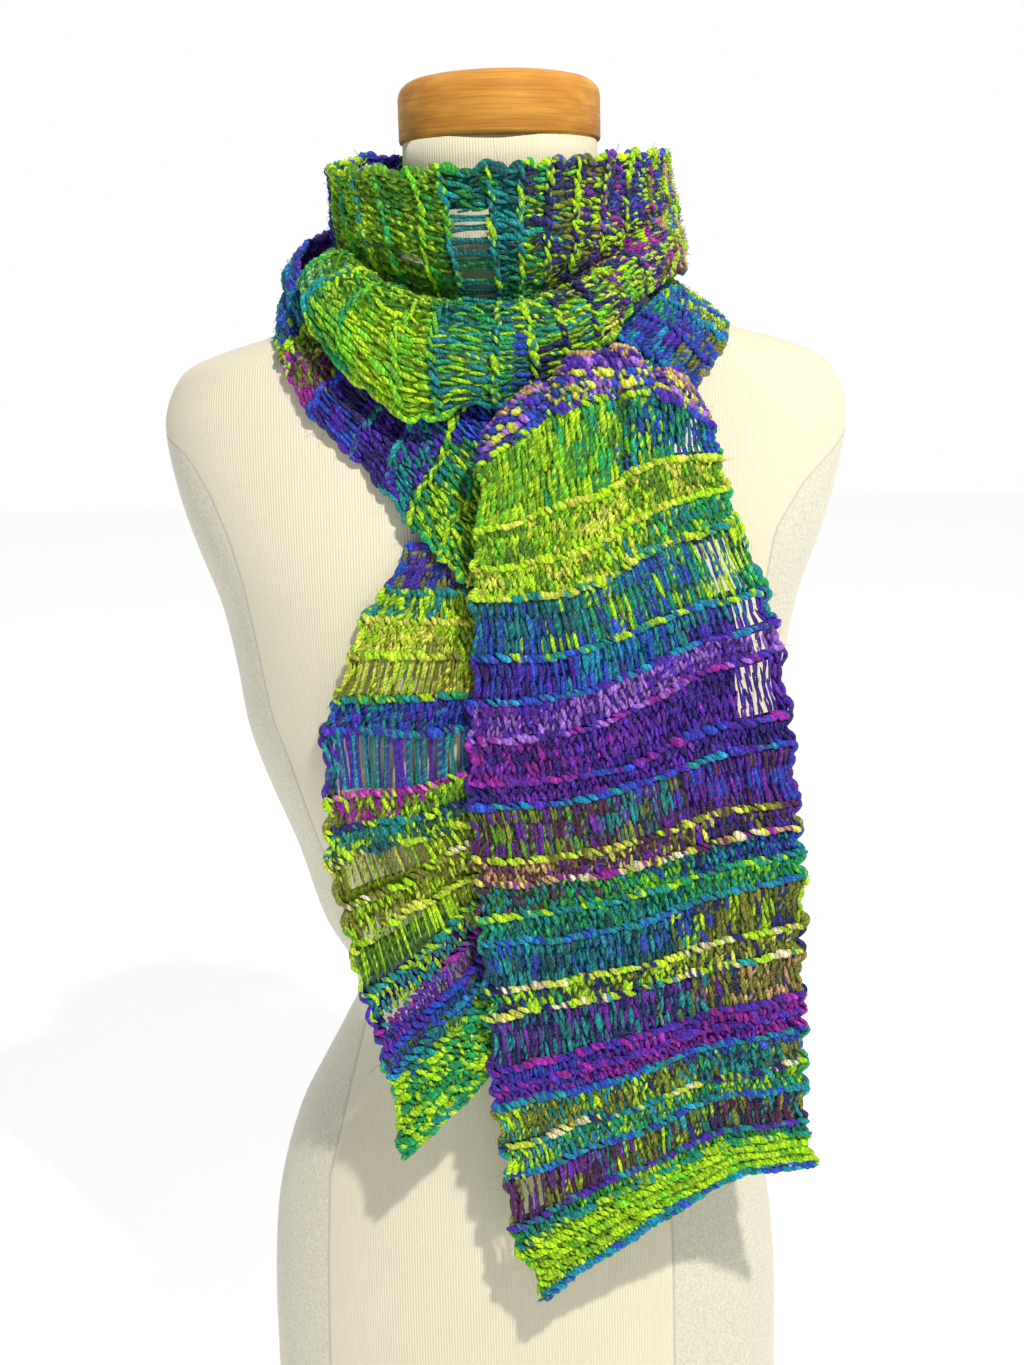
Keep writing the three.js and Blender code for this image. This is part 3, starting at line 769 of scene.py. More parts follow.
def neck_sections(rows):
    """Points of the wrap's sections, from their radii and heights by direction."""
    turn = np.radians(rows["turn"])
    parts = ("top", "wall", "valley", "roll", "hem")
    radii, heights = (np.stack([rows[part + kind] for part in parts], axis=1) for kind in "RZ")
    return np.stack([radii * np.sin(turn)[:, None], -radii * np.cos(turn)[:, None], heights], axis=2)


def strand_sections(rows):
    """Points of a strand's sections: upper edge, middle and lower edge."""
    places = [np.stack([rows[k + axis] for axis in "XYZ"], axis=1) for k in ("up", "mid", "low")]
    return np.stack(places, axis=1)


def tail_sections(rows, stations):
    """Points of a tail's sections, at the stations across it."""
    rows = {name: column[:, None] for name, column in rows.items()}
    x = rows["left"] + (rows["right"] - rows["left"]) * stations["across"]
    y = -rows["ahead"] - stations["bow"]
    climb = stations["climb"] + (stations["lateClimb"] - stations["climb"]) * rows["late"]
    z = rows["z"] + rows["climb"] * climb + rows["arch"] * stations["arch"]
    return np.stack([x, y, z], axis=2)


def pleat_lift(pleats, along, across):
    """How far the pleats lift the cloth, on a grid of shares of its length and width."""
    lift = np.zeros((len(along), len(across)))
    for start, end, at, width, height in zip(*pleats.values()):
        share = np.clip((along - start) / (end - start), 0, 1)
        fade = np.sin(np.pi * share).clip(0) ** PLEAT_ENDS
        lift += height * fade[:, None] * np.exp(-(((across - at) / width) ** 2))
    return lift


def unit(vectors):
    """The same directions, each one long."""
    return vectors / np.linalg.norm(vectors, axis=-1, keepdims=True).clip(1e-9)


class Cloth:
    """The inner face of one stretch, as a fine grid over its length and width."""

    def __init__(self, sections, pleats, facing):
        self.rows, self.facing = len(sections) - 1, facing
        along, across = (np.linspace(0, 1, count + 1) for count in GRID)
        rounded = smooth_curve(sections.transpose(1, 0, 2), across).transpose(1, 0, 2)
        points = smooth_curve(rounded, along)
        points = points + self.normals(points) * pleat_lift(pleats, along, across)[..., None]
        self.points = points
        self.out = self.normals(points) * facing
        steps = np.linalg.norm(np.diff(points[:, GRID[1] // 2], axis=0), axis=1)
        self.run = np.concatenate([[0], np.cumsum(steps)])
        self.along = along
        self.length = float(self.run[-1])
        self.width = float(np.linalg.norm(np.diff(points, axis=1), axis=2).sum(axis=1).mean())

    @staticmethod
    def normals(points):
        return unit(np.cross(np.gradient(points, axis=0), np.gradient(points, axis=1)))

    def at(self, along, across, height):
        """Points at shares of the length and width and at a height above the inner face."""
        along, across, height = np.broadcast_arrays(along, across, height)
        spans = [count - 1 for count in self.points.shape[:2]]
        i_place, j_place = along * spans[0], across * spans[1]
        i = np.clip(np.floor(i_place), 0, spans[0] - 1).astype(int)
        j = np.clip(np.floor(j_place), 0, spans[1] - 1).astype(int)
        u, v = (i_place - i)[..., None], (j_place - j)[..., None]

        def blend(grid):
            low = grid[i, j] * (1 - v) + grid[i, j + 1] * v
            high = grid[i + 1, j] * (1 - v) + grid[i + 1, j + 1] * v
            return low * (1 - u) + high * u

        return blend(self.points) + unit(blend(self.out)) * height[..., None]

    def distance(self, share):
        """How far along the cloth a share of its length is, in millimetres."""
        return np.interp(share, self.along, self.run)

    def share(self, distance):
        return np.interp(distance, self.run, self.along)


def set_points(mesh, name, kind, values):
    """Stores a value for each point of a mesh, for its material to read."""
    attribute = mesh.attributes.new(name, kind, "POINT")
    field = "color" if kind == "FLOAT_COLOR" else "value"
    attribute.data.foreach_set(field, np.ascontiguousarray(values, np.float32).ravel())


def with_alpha(colours):
    return np.concatenate([colours, np.ones(colours.shape[:-1] + (1,))], axis=-1)


def to_frame(points):
    """Points in the frame's metres, from millimetres about the axis of the neck."""
    return points.reshape(-1, 3) * MM + NECK_AXIS


def linked(name, data):
    """A new object that holds data, put in the scene."""
    obj = bpy.data.objects.new(name, data)
    bpy.context.scene.collection.objects.link(obj)
    return obj


def mesh_object(name, points, faces):
    mesh = bpy.data.meshes.new(name)
    mesh.from_pydata(points.tolist(), [], faces)
    mesh.polygons.foreach_set("use_smooth", [True] * len(mesh.polygons))
    return linked(name, mesh)


def finished(obj, slot, material=None):
    """Gives a piece its material, its body and its slot. Spun yarn has its material already."""
    if material is not None:
        obj.data.materials.clear()
        obj.data.materials.append(material)
    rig.ride(obj, "root")
    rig.slot(obj, slot)
    return obj


class Skein:
    """Strands of yarn that wait to be made into one piece."""

    def __init__(self):
        self.points, self.radii, self.ply_a, self.ply_b = [], [], [], []

    def add(self, points, radii, plies):
        """points (strands, points, 3), with radii and both plies' colours for each strand."""
        shape = points.shape[:2]
        self.points.append(list(points))
        self.radii.append(list(np.broadcast_to(radii, shape)))
        for store, ply in zip((self.ply_a, self.ply_b), plies):
            store.append(list(np.broadcast_to(ply[:, None], shape + (3,))))

    def guide(self, name):
        """A mesh of edges alone that holds every strand's line, radius and colours."""
        points, radii, ply_a, ply_b = (
            [strand for batch in store for strand in batch]
            for store in (self.points, self.radii, self.ply_a, self.ply_b)
        )
        counts = np.array([len(strand) for strand in points])
        total = counts.sum()
        first = np.delete(np.arange(total - 1), np.cumsum(counts)[:-1] - 1)
        mesh = bpy.data.meshes.new(name)
        mesh.vertices.add(total)
        mesh.vertices.foreach_set("co", to_frame(np.concatenate(points)).astype(np.float32).ravel())
        mesh.edges.add(len(first))
        mesh.edges.foreach_set("vertices", np.stack([first, first + 1], axis=1).ravel())
        set_points(mesh, "yarn_radius", "FLOAT", np.concatenate(radii) * MM)
        set_points(mesh, "ply_a", "FLOAT_COLOR", with_alpha(np.concatenate(ply_a)))
        set_points(mesh, "ply_b", "FLOAT_COLOR", with_alpha(np.concatenate(ply_b)))
        mesh.update()
        return linked(name, mesh)


class Nodes:
    """Short forms for building a tree of nodes."""

    def __init__(self, tree):
        self.tree = tree

    def wire(self, value, socket):
        if isinstance(value, bpy.types.NodeSocket):
            self.tree.links.new(value, socket)
        else:
            socket.default_value = value

    def fill(self, node, inputs):
        """Wires or sets a node's inputs, each under its name or number."""
        for name, value in inputs.items():
            self.wire(value, node.inputs[name])

    def put(self, kind, inputs=None, **settings):
        """A new node with its settings, and its inputs wired or set."""
        node = self.tree.nodes.new(kind)
        for name, value in settings.items():
            setattr(node, name, value)
        self.fill(node, inputs or {})
        return node

    def math(self, operation, a, b=0.0):
        return self.put("ShaderNodeMath", {0: a, 1: b}, operation=operation).outputs[0]

    def attribute(self, name, output="Fac"):
        return self.put("ShaderNodeAttribute", attribute_name=name).outputs[output]

    def mix(self, factor, a, b, blend="MIX"):
        inputs = {"Factor": factor, 6: a, 7: b}
        return self.put("ShaderNodeMix", inputs, data_type="RGBA", blend_type=blend).outputs[2]

    def shaded(self, colour, light):
        """A colour made lighter or darker by one number."""
        grey = self.put("ShaderNodeCombineColor", {0: light, 1: light, 2: light})
        return self.mix(1.0, colour, grey.outputs[0], "MULTIPLY")

    def noise(self, vector, scale, detail=2.0):
        inputs = {"Vector": vector, "Scale": scale, "Detail": detail}
        return self.put("ShaderNodeTexNoise", inputs).outputs["Fac"]

    def spread(self, value, low, high, to_low=0.0, to_high=1.0):
        """Maps low to to_low and high to to_high."""
        ends = {"From Min": low, "From Max": high, "To Min": to_low, "To Max": to_high}
        return self.put("ShaderNodeMapRange", {"Value": value} | ends).outputs["Result"]

    def bump(self, height, strength, distance):
        inputs = {"Strength": strength, "Distance": distance, "Height": height}
        return self.put("ShaderNodeBump", inputs).outputs["Normal"]

    def place(self):
        return self.put("ShaderNodeTexCoord").outputs["Object"]

    def mapped(self, **inputs):
        return self.put("ShaderNodeMapping", {"Vector": self.place()} | inputs).outputs[0]

    def flat_place(self):
        """The place on the cloth laid flat, across it and along it."""
        uv = self.put("ShaderNodeUVMap", uv_map="UVMap").outputs[0]
        flat = self.put("ShaderNodeSeparateXYZ", {0: uv})
        return flat.outputs["X"], flat.outputs["Y"]

    def lying_hair(self, scale, breadth):
        """Thin winding lines, like loose hairs that lie on the wool."""
        level = self.math("SUBTRACT", self.noise(self.place(), scale, 1.0), 0.5)
        return self.spread(self.math("ABSOLUTE", level), 0.0, breadth, 1.0, 0.0)


def yarn_tree(material):
    """Turns strand lines into round yarn, with the place round and along it kept for the plies."""
    tree = bpy.data.node_groups.new("spun_yarn", "GeometryNodeTree")
    for name, way, kind, value in (
        ("Geometry", "INPUT", "NodeSocketGeometry", None),
        ("Sides", "INPUT", "NodeSocketInt", YARN_SIDES),
        ("Fatness", "INPUT", "NodeSocketFloat", 1.0),
        ("Geometry", "OUTPUT", "NodeSocketGeometry", None),
    ):
        socket = tree.interface.new_socket(name, in_out=way, socket_type=kind)
        if value is not None:
            socket.default_value = value
    n = Nodes(tree)
    source = n.put("NodeGroupInput").outputs
    lines = n.put("GeometryNodeMeshToCurve", {"Mesh": source["Geometry"]})
    length = n.put("GeometryNodeSplineParameter").outputs["Length"]
    keep_along = n.put("GeometryNodeStoreNamedAttribute", data_type="FLOAT", domain="POINT")
    n.fill(keep_along, {"Geometry": lines.outputs["Curve"], "Name": "along", "Value": length})
    ring = n.put("GeometryNodeCurvePrimitiveCircle", {"Resolution": source["Sides"], "Radius": 1.0})
    spot = n.put("GeometryNodeInputPosition").outputs["Position"]
    keep_round = n.put("GeometryNodeStoreNamedAttribute", data_type="FLOAT_VECTOR", domain="POINT")
    n.fill(keep_round, {"Geometry": ring.outputs["Curve"], "Name": "round", "Value": spot})
    radius = n.put("GeometryNodeInputNamedAttribute", {"Name": "yarn_radius"}, data_type="FLOAT")
    tube = n.put("GeometryNodeCurveToMesh", {
        "Curve": keep_along.outputs["Geometry"],
        "Profile Curve": keep_round.outputs["Geometry"],
        "Scale": n.math("MULTIPLY", radius.outputs["Attribute"], source["Fatness"]),
        "Fill Caps": True,
    })
    smooth = n.put("GeometryNodeSetShadeSmooth", {"Geometry": tube.outputs["Mesh"]})
    real = n.put("GeometryNodeRealizeInstances", {"Geometry": smooth.outputs["Geometry"]})
    paint = n.put("GeometryNodeSetMaterial", {"Material": material})
    n.fill(paint, {"Geometry": real.outputs["Geometry"]})
    n.put("NodeGroupOutput", {"Geometry": paint.outputs["Geometry"]})
    return tree


def spun(skein, name, tree, sides):
    """Runs the yarn's nodes on a skein and keeps the result as one plain mesh object."""
    guide = skein.guide(name + "_lines")
    modifier = guide.modifiers.new("make", "NODES")
    modifier.node_group = tree
    settings = {"Sides": sides, "Fatness": 1.0}
    for socket in tree.interface.items_tree:
        if getattr(socket, "in_out", "") == "INPUT" and socket.name in settings:
            modifier[socket.identifier] = settings[socket.name]
    graph = bpy.context.evaluated_depsgraph_get()
    mesh = bpy.data.meshes.new_from_object(guide.evaluated_get(graph))
    mesh.name = name
    bpy.data.objects.remove(guide)
    return linked(name, mesh)


def drawn_colours(names, count, stay=0.4):
    """Colours of a run of stitches, each like the one before it or drawn from the names."""
    choices = np.array([linear_colour(name) for name in names.split()])
    picks = draw.integers(len(choices), size=count)
    stays = draw.random(count) < stay
    for k in range(1, count):
        if stays[k]:
            picks[k] = picks[k - 1]
    return choices[picks] * draw.normal(1, SHADE_SPREAD, (count, 1)).clip(*SHADES)


def second_ply(first, other, same=0.65):
    """The second ply: mostly a shade of the first one, now and then another colour."""
    count = len(first)
    shade = first * draw.choice(PLY_SHADES, (count, 1)) + 0.01
    return np.where(draw.random((count, 1)) < same, shade, other).clip(0, 1)


def plies(names, count, stay=0.4, same=0.65):
    """Both plies of a run of stitches in one mix of yarn."""
    first = drawn_colours(names, count, stay)
    return first, second_ply(first, drawn_colours(names, count), same)


def across_colours(stripe, across):
    """Colours of stitches at shares of the width, from the stripe's three mixes of yarn."""
    blur = draw.normal(0, MIX_BLUR * 3, len(across))
    zone = np.clip(np.round(across * 3 - 0.5 + blur), 0, 2).astype(int)
    mixes = [drawn_colours(stripe[name], len(across)) for name in THIRDS]
    return np.stack(mixes)[zone, np.arange(len(across))]


def plies_across(stripe, across):
    first = across_colours(stripe, across)
    return first, second_ply(first, across_colours(stripe, across))


def is_open(openings, row, across):
    """Whether dropped stitches leave the cloth open there."""
    found = np.zeros(np.shape(across), bool)
    for start, end, first, last in zip(*openings.values()):
        found |= (row > start) & (row < end) & (across > first) & (across < last)
    return found


def thick_and_thin(count, spread=0.16, slubs=0.06):
    """Shares of the plain radius: the yarn swells now and then into a slub."""
    swell = draw.normal(1, spread, count).clip(*THICKNESS)
    slub = draw.random(count) < slubs
    return np.where(slub, swell * SLUB, swell)


def loosely(middle, spread, count):
    """A drawn number for each stitch, as a column."""
    return draw.normal(middle, spread, count)[:, None]


def how_many(length, each):
    """How many things of one length fit best into a length, at least one."""
    return max(1, int(round(length / each)))


def stitch_middles(count, spread):
    """Where the stitches of one course lie, as shares of the cloth's width."""
    return (np.arange(count) + 0.5 + draw.normal(0, spread, count)) / count


def rounded_ends(step, ends, flat):
    """Shares of the radius along a bump, which is thinner at its ends."""
    return ends + (1 - ends) * np.sqrt(1 - flat * step**2)


class Knitter:
    """Knits one stretch: its stitches go to a skein, course by course."""

    def __init__(self, cloth, made):
        self.cloth = cloth
        self.stripes, self.openings = made["stripes"], made["open"]
        self.edge_wave, self.bump = made["edge_wave"], made["bump"]
        self.hidden_from = made["hidden_from"]
        self.count = int(round(cloth.width / STITCH))
        self.ridges = np.array([stripe["row"] for stripe in self.stripes]) / cloth.rows
        rows = np.append(self.ridges * cloth.rows, cloth.rows)
        drop = np.interp(rows, made["slant"]["row"], made["slant"]["drop"])
        stray = draw.normal(0, RIDGE_STRAY, (len(rows), len(STRAY_PLACES)))
        self.drift = stray + drop[:, None] * DROP_ACROSS

    def mm(self, distance):
        """A distance across the cloth as a share of its width."""
        return distance / self.cloth.width

    def course_at(self, along):
        """The number of the course at a share of the length."""
        found = np.searchsorted(self.ridges, along, side="right") - 1
        return np.clip(found, 0, len(self.ridges) - 1)

    def on_cloth(self, along, across, height):
        """Points on the cloth, whose edges swing out at the ridges and in between them."""
        along, across = np.broadcast_arrays(along, across)
        k = self.course_at(along)
        following = np.append(self.ridges[1:], 1.0)[k]
        share = np.clip((along - self.ridges[k]) / np.maximum(following - self.ridges[k], 1e-6), 0, 1)
        swing = self.edge_wave * np.cos(2 * np.pi * share)
        near_edge = (np.abs(2 * across - 1) - (1 - EDGE_BAND)).clip(0) / EDGE_BAND
        outward = np.sign(across - 0.5) * near_edge**2
        return self.cloth.at(along, across + self.mm(swing) * outward, height)

    def moved(self, along, shift):
        """Shares of the length, moved along the cloth by a shift in millimetres."""
        return np.clip(self.cloth.share(self.cloth.distance(along) + shift), 0, 1)

    def strayed(self, k, along, across):
        """Shares of the length, moved as ridge k strays from its straight line."""
        return self.moved(along, np.interp(across, STRAY_PLACES, self.drift[k]))

    def ridge(self, skein, k, along, names):
        """A garter ridge: a row of fat slanting bumps that overlap like a rope."""
        count = self.count
        step = np.linspace(-1, 1, 5)
        rise, slope = np.cos(step * np.pi / 2), np.sin(step * np.pi / 2)
        centre = stitch_middles(count, BUMP_PLACE)
        across = centre[:, None] + step * loosely(*BUMP_REACH, count) / count
        shift = loosely(*BUMP_SLANT, count) * slope + loosely(*BUMP_STRAY, count)
        place = self.moved(self.strayed(k, along, centre)[:, None], shift)
        height = BUMP_HEIGHT + BUMP_RISE * rise + loosely(*UNEVEN_HEIGHT, count)
        radius = BUMP_RADIUS * self.bump * thick_and_thin(count, *BUMP_YARN)[:, None]
        radius = radius * rounded_ends(step, 0.45, 0.92)
        colours = plies(names, count, stay=0.2, same=0.4)
        skein.add(self.on_cloth(place, across, height), radius, colours)

    def legs(self, skein, k, start, end, stripe, row, tall=False):
        """A tier of stitches between two places on the length, two legs each."""
        middles = stitch_middles(self.count, LEG_PLACE)
        if stripe["kind"] == "open":
            middles = middles[~is_open(self.openings, row, middles)]
        foot, narrowing = TALL_SPREAD if tall else LEG_SPREAD
        for leg in (NEAR_LEG, FAR_LEG):
            step = np.linspace(0, 1, leg["points"])
            swell = np.sin(np.pi * step)
            middle = middles if leg is NEAR_LEG else middles[middles < self.hidden_from]
            opened = is_open(self.openings, row, middle)
            count = len(middle)
            spread = np.where(opened[:, None], OPEN_SPREAD, foot - narrowing * step)
            lean = loosely(*LEG_LEAN, count) * (step - 0.5)
            across = middle[:, None] + (leg["side"] * spread + lean) / self.count
            base = start + (end - start) * (step + loosely(*LEG_STRAY, count))
            place = self.strayed(k, base, middle[:, None])
            height = leg["height"] + swell + loosely(*UNEVEN_HEIGHT, count)
            radius = LEG_RADIUS * thick_and_thin(count) * np.where(opened, OPEN_THICKNESS, 1.0)
            radius = radius[:, None] * leg["thickness"] * (0.6 + 0.5 * swell**0.7)
            skein.add(self.on_cloth(place, across, height), radius, plies_across(stripe, middle))

    def ladder(self, skein, k, start, end, stripe, row):
        """Long bare legs of dropped stitches, in twisted pairs with slits between them."""
        step = np.linspace(0, 1, 7)
        swell = np.sin(np.pi * step)
        middle = stitch_middles(self.count, LADDER_PLACE)
        middle = middle[is_open(self.openings, row, middle)]
        count = len(middle)
        lean = loosely(*LADDER_LEAN, count) * (step - 0.5)
        spread = LADDER_SPREAD[0] - LADDER_SPREAD[1] * swell
        for side in (-1, 1):
            across = middle[:, None] + (side * spread + lean) / self.count
            place = self.strayed(k, start + (end - start) * step, middle[:, None])
            height = LADDER_HEIGHT + LADDER_CROSSING * side + loosely(*UNEVEN_HEIGHT, count)
            radius = LADDER_RADIUS * thick_and_thin(count, LADDER_YARN)[:, None] * (1.3 - 0.4 * swell)
            skein.add(self.on_cloth(place, across, height), radius, plies_across(stripe, middle))

    def garter(self, skein, k, stripe, here, after, length):
        """Ridges close together, each with short stitches under it."""
        rows = how_many(length, GARTER_ROW)
        for j in range(rows):
            start = here + (after - here) * j / rows
            end = here + (after - here) * (j + 1 + GARTER_OVERLAP) / rows
            if j:
                self.ridge(skein, k, start, stripe["second"])
            self.legs(skein, k, start, min(end, 1), stripe, NO_ROW)

    def selvedge(self, skein, side, size):
        """The chain of loops along one edge of the cloth."""
        outward = 1 if side > 0.5 else -1
        name = "first" if side < 0.5 else "third"
        step = np.linspace(-LOOP_OVERLAP, 1 + LOOP_OVERLAP, 7)
        for stripe, here, after, length in self.courses():
            loops = how_many(length, LOOP_LENGTH)
            for loop in range(loops):
                place = np.clip(here + (after - here) * (loop + step) / loops, 0, 1)
                bulge = np.sin(np.pi * np.clip(step, 0, 1)) + draw.normal(*LOOP_STRAY)
                height = LOOP_HEIGHT + LOOP_RISE * np.cos(np.pi * step) * (-1) ** loop
                points = self.on_cloth(place, side + outward * self.mm(bulge), height)
                radius = LEG_RADIUS * size * thick_and_thin(1)
                radius = radius * (0.6 + 0.4 * np.sin(np.pi * step).clip(0))
                skein.add(points[None], radius, plies(stripe[name], 1))

    def bind_off(self, skein, along, names):
        """The cast edge: a cable of long bumps along the hem."""
        count = int(self.count * CAST_BUMPS)
        step = np.linspace(-1, 1, 6)
        centre = (np.arange(count) + 0.5) / count
        across = np.clip(centre[:, None] + step * CAST_REACH / count, 0, 1)
        stray = np.interp(centre, STRAY_PLACES, self.drift[-1])[:, None]
        place = self.moved(along, CAST_SLANT * np.sin(step * np.pi / 2) + stray)
        height = LOOP_HEIGHT + CAST_RISE * np.cos(step * np.pi / 2)
        radius = BUMP_RADIUS * CAST_SIZE * thick_and_thin(count)[:, None]
        radius = radius * rounded_ends(step, 0.5, 0.9)
        skein.add(self.on_cloth(place, across, height), radius, plies(names, count, stay=0.6))

    def fuzz(self, skein, amount):
        """Fine loose hairs that stand off the wool."""
        step = np.linspace(0, 1, 3)
        along, across = draw.random(amount), draw.random(amount) * 1.02 - 0.01
        reach = draw.normal(0, 1, (amount, 2)) * HAIR_REACH
        curl = draw.normal(0, HAIR_CURL, (amount, 2))
        bend = np.sin(np.pi * step)
        across = across[:, None] + self.mm(reach[:, :1] * step + curl[:, :1] * bend)
        drift = reach[:, 1:] * step + curl[:, 1:] * bend
        place = self.cloth.share(self.cloth.distance(along)[:, None] + drift)
        lift, tip = (draw.random(amount)[:, None] for _ in range(2))
        height = HAIR_ROOT + lift * HAIR_BOW * bend + tip * HAIR_TIP * step
        zones = np.clip((across[:, 0] * 3).astype(int), 0, 2)
        names = [self.stripes[k][THIRDS[zone]].split() for k, zone in zip(self.course_at(along), zones)]
        shades = np.array([linear_colour(words[draw.integers(len(words))]) for words in names])
        shades = shades * HAIR_SHADE[0] + HAIR_SHADE[1]
        radius = HAIR_RADIUS[0] - HAIR_RADIUS[1] * step
        skein.add(self.on_cloth(place, across, height), radius, (shades, shades))

    def courses(self):
        """Each stripe with the shares of the length where it starts and ends, and its length."""
        for stripe, here, after in zip(self.stripes, self.ridges, np.append(self.ridges[1:], 1.0)):
            yield stripe, here, after, self.cloth.distance(after) - self.cloth.distance(here)

    def knit(self, skein, from_share, to_share):
        """Knits the courses that start between two shares of the length."""
        for k, (stripe, here, after, length) in enumerate(self.courses()):
            if not from_share <= here < to_share:
                continue
            kind = stripe["kind"]
            row = (here + after) / 2 * self.cloth.rows
            self.ridge(skein, k, here, stripe["ridge"])
            if kind == "garter":
                self.garter(skein, k, stripe, here, after, length)
                continue
            if kind == "open":
                self.ladder(skein, k, here, after, stripe, row)
            tall = kind == "long"
            tiers = how_many(length, TALL_TIER if tall else SHORT_TIER)
            for tier in range(tiers):
                start = here + (after - here) * (tier - LEG_OVERLAP[0]) / tiers
                end = here + (after - here) * (tier + 1 + LEG_OVERLAP[1]) / tiers
                self.legs(skein, k, max(start, 0), min(end, 1), stripe, row, tall)


def drop_loose(mesh):
    """Removes the points that no face uses any more."""
    work = bmesh.new()
    work.from_mesh(mesh)
    bmesh.ops.delete(work, geom=[v for v in work.verts if not v.link_faces], context="VERTS")
    work.to_mesh(mesh)
    work.free()


def thin_cloth(name, knitter):
    """The cloth behind the stitches: a thin wall in the yarn's mean colours, open at the ladders. Its face between the
    stitches is painted dark, partly for the yarn behind and partly as painted shade in the gaps.
    """
    cloth = knitter.cloth
    along = np.linspace(*CLOTH_LENGTH, int(cloth.length / CLOTH_STEP) + 1)
    across = np.linspace(*CLOTH_WIDTH, int(cloth.width / CLOTH_STEP) + 1)
    grid_along, grid_across = np.meshgrid(along, across, indexing="ij")
    points = knitter.on_cloth(grid_along, grid_across, CLOTH_MIDDLE)
    columns = len(across)
    kept = []
    for i in range(len(along) - 1):
        row = (along[i] + along[i + 1]) / 2 * cloth.rows
        opened = is_open(knitter.openings, row, (across[:-1] + across[1:]) / 2)
        for j in np.flatnonzero(~opened):
            first = i * columns + j
            corners = (first, first + columns, first + columns + 1, first + 1)
            kept.append(corners if cloth.facing > 0 else corners[::-1])
    obj = mesh_object(name, to_frame(points), kept)
    means = np.array([
        [np.mean([linear_colour(word) for word in stripe[third].split()], axis=0) for third in THIRDS]
        for stripe in knitter.stripes
    ])
    zone = np.clip((across * 3).astype(int), 0, 2)
    set_points(obj.data, "shade", "FLOAT_COLOR", with_alpha(means[knitter.course_at(along)][:, zone]))
    uv = obj.data.uv_layers.new(name="UVMap")
    corners = np.zeros(len(obj.data.loops), np.int32)
    obj.data.loops.foreach_get("vertex_index", corners)
    flat = np.stack([grid_across * cloth.width, cloth.distance(grid_along)], axis=-1) * MM
    uv.data.foreach_set("uv", flat.reshape(-1, 2)[corners].astype(np.float32).ravel())
    wall = obj.modifiers.new("wall", "SOLIDIFY")
    wall.thickness = CLOTH_WALL * MM
    wall.offset = 0.0
    wall.material_offset = 1
    drop_loose(obj.data)
    return obj


def new_material(name):
    """A new material, with short forms for its nodes and its shader."""
    material = bpy.data.materials.new(name)
    material.use_nodes = True
    tree = material.node_tree
    return material, Nodes(tree), tree.nodes["Principled BSDF"]


def yarn_material():
    """Two plies of soft hairy wool twisted round each other, each in its own colour. The grooves between the plies are
    painted darker as painted shade, and the loose hairs lying on the wool are painted lighter, partly as pale fibre
    and partly as painted highlight.
    """
    material, n, shader = new_material("hand_spun_wool")
    ring = n.put("ShaderNodeSeparateXYZ", {0: n.attribute("round", "Vector")}).outputs
    along = n.attribute("along")
    turn = n.math("MULTIPLY", along, 2 * math.pi / (TWIST * MM))
    wave = n.math(
        "ADD",
        n.math("MULTIPLY", ring["X"], n.math("COSINE", turn)),
        n.math("MULTIPLY", ring["Y"], n.math("SINE", turn)),
    )
    lengthways = n.put("ShaderNodeCombineXYZ", {
        0: n.math("MULTIPLY", ring["X"], 2.2),
        1: n.math("MULTIPLY", ring["Y"], 2.2),
        2: n.math("MULTIPLY", along, 260.0),
    })
    shifted = n.put(
        "ShaderNodeVectorMath",
        {0: n.place(), 1: (90.0, 90.0, 90.0), 2: lengthways.outputs[0]},
        operation="MULTIPLY_ADD",
    )
    streak = n.noise(shifted.outputs[0], 1.6, 3.0)
    fibre = n.noise(n.place(), WOOL_FIBRES, 3.0)
    ply = n.spread(n.math("ADD", wave, n.spread(streak, 0.25, 0.75, -0.55, 0.55)), -0.55, 0.55)
    colour = n.mix(ply, n.attribute("ply_a", "Color"), n.attribute("ply_b", "Color"))
    # Painted highlight: the lying hairs are lifted well above the yarn's colour, with a little pale mixed in
    lying = n.math("MAXIMUM", *(n.lying_hair(*lines) for lines in LYING_HAIRS))
    lit = n.mix(0.12, n.mix(1.0, colour, LIT_HAIR, "MULTIPLY"), PALE_HAIR)
    colour = n.mix(n.math("MULTIPLY", lying, 0.65), colour, lit)
    ridge = n.math("ABSOLUTE", wave)
    hairy = n.math(
        "MULTIPLY",
        n.spread(fibre, 0.25, 0.75, 0.7, 1.25),
        n.spread(streak, 0.2, 0.8, 0.55, 1.5),
    )
    # Painted shade: the yarn is darker in the grooves between its plies
    light = n.math("MULTIPLY", hairy, n.spread(ridge, 0.0, 0.5, 0.5, 1.0))
    height = n.math("ADD", ridge, n.math("MULTIPLY", streak, 1.2))
    height = n.math("ADD", height, n.math("MULTIPLY", fibre, 0.5))
    n.fill(shader, {
        "Base Color": n.shaded(colour, light),
        "Roughness": 0.8,
        "Specular IOR Level": 0.25,
        "Sheen Weight": 0.08,
        "Sheen Roughness": 0.5,
        "Normal": n.bump(height, 0.8, 0.0006),
    })
    return material


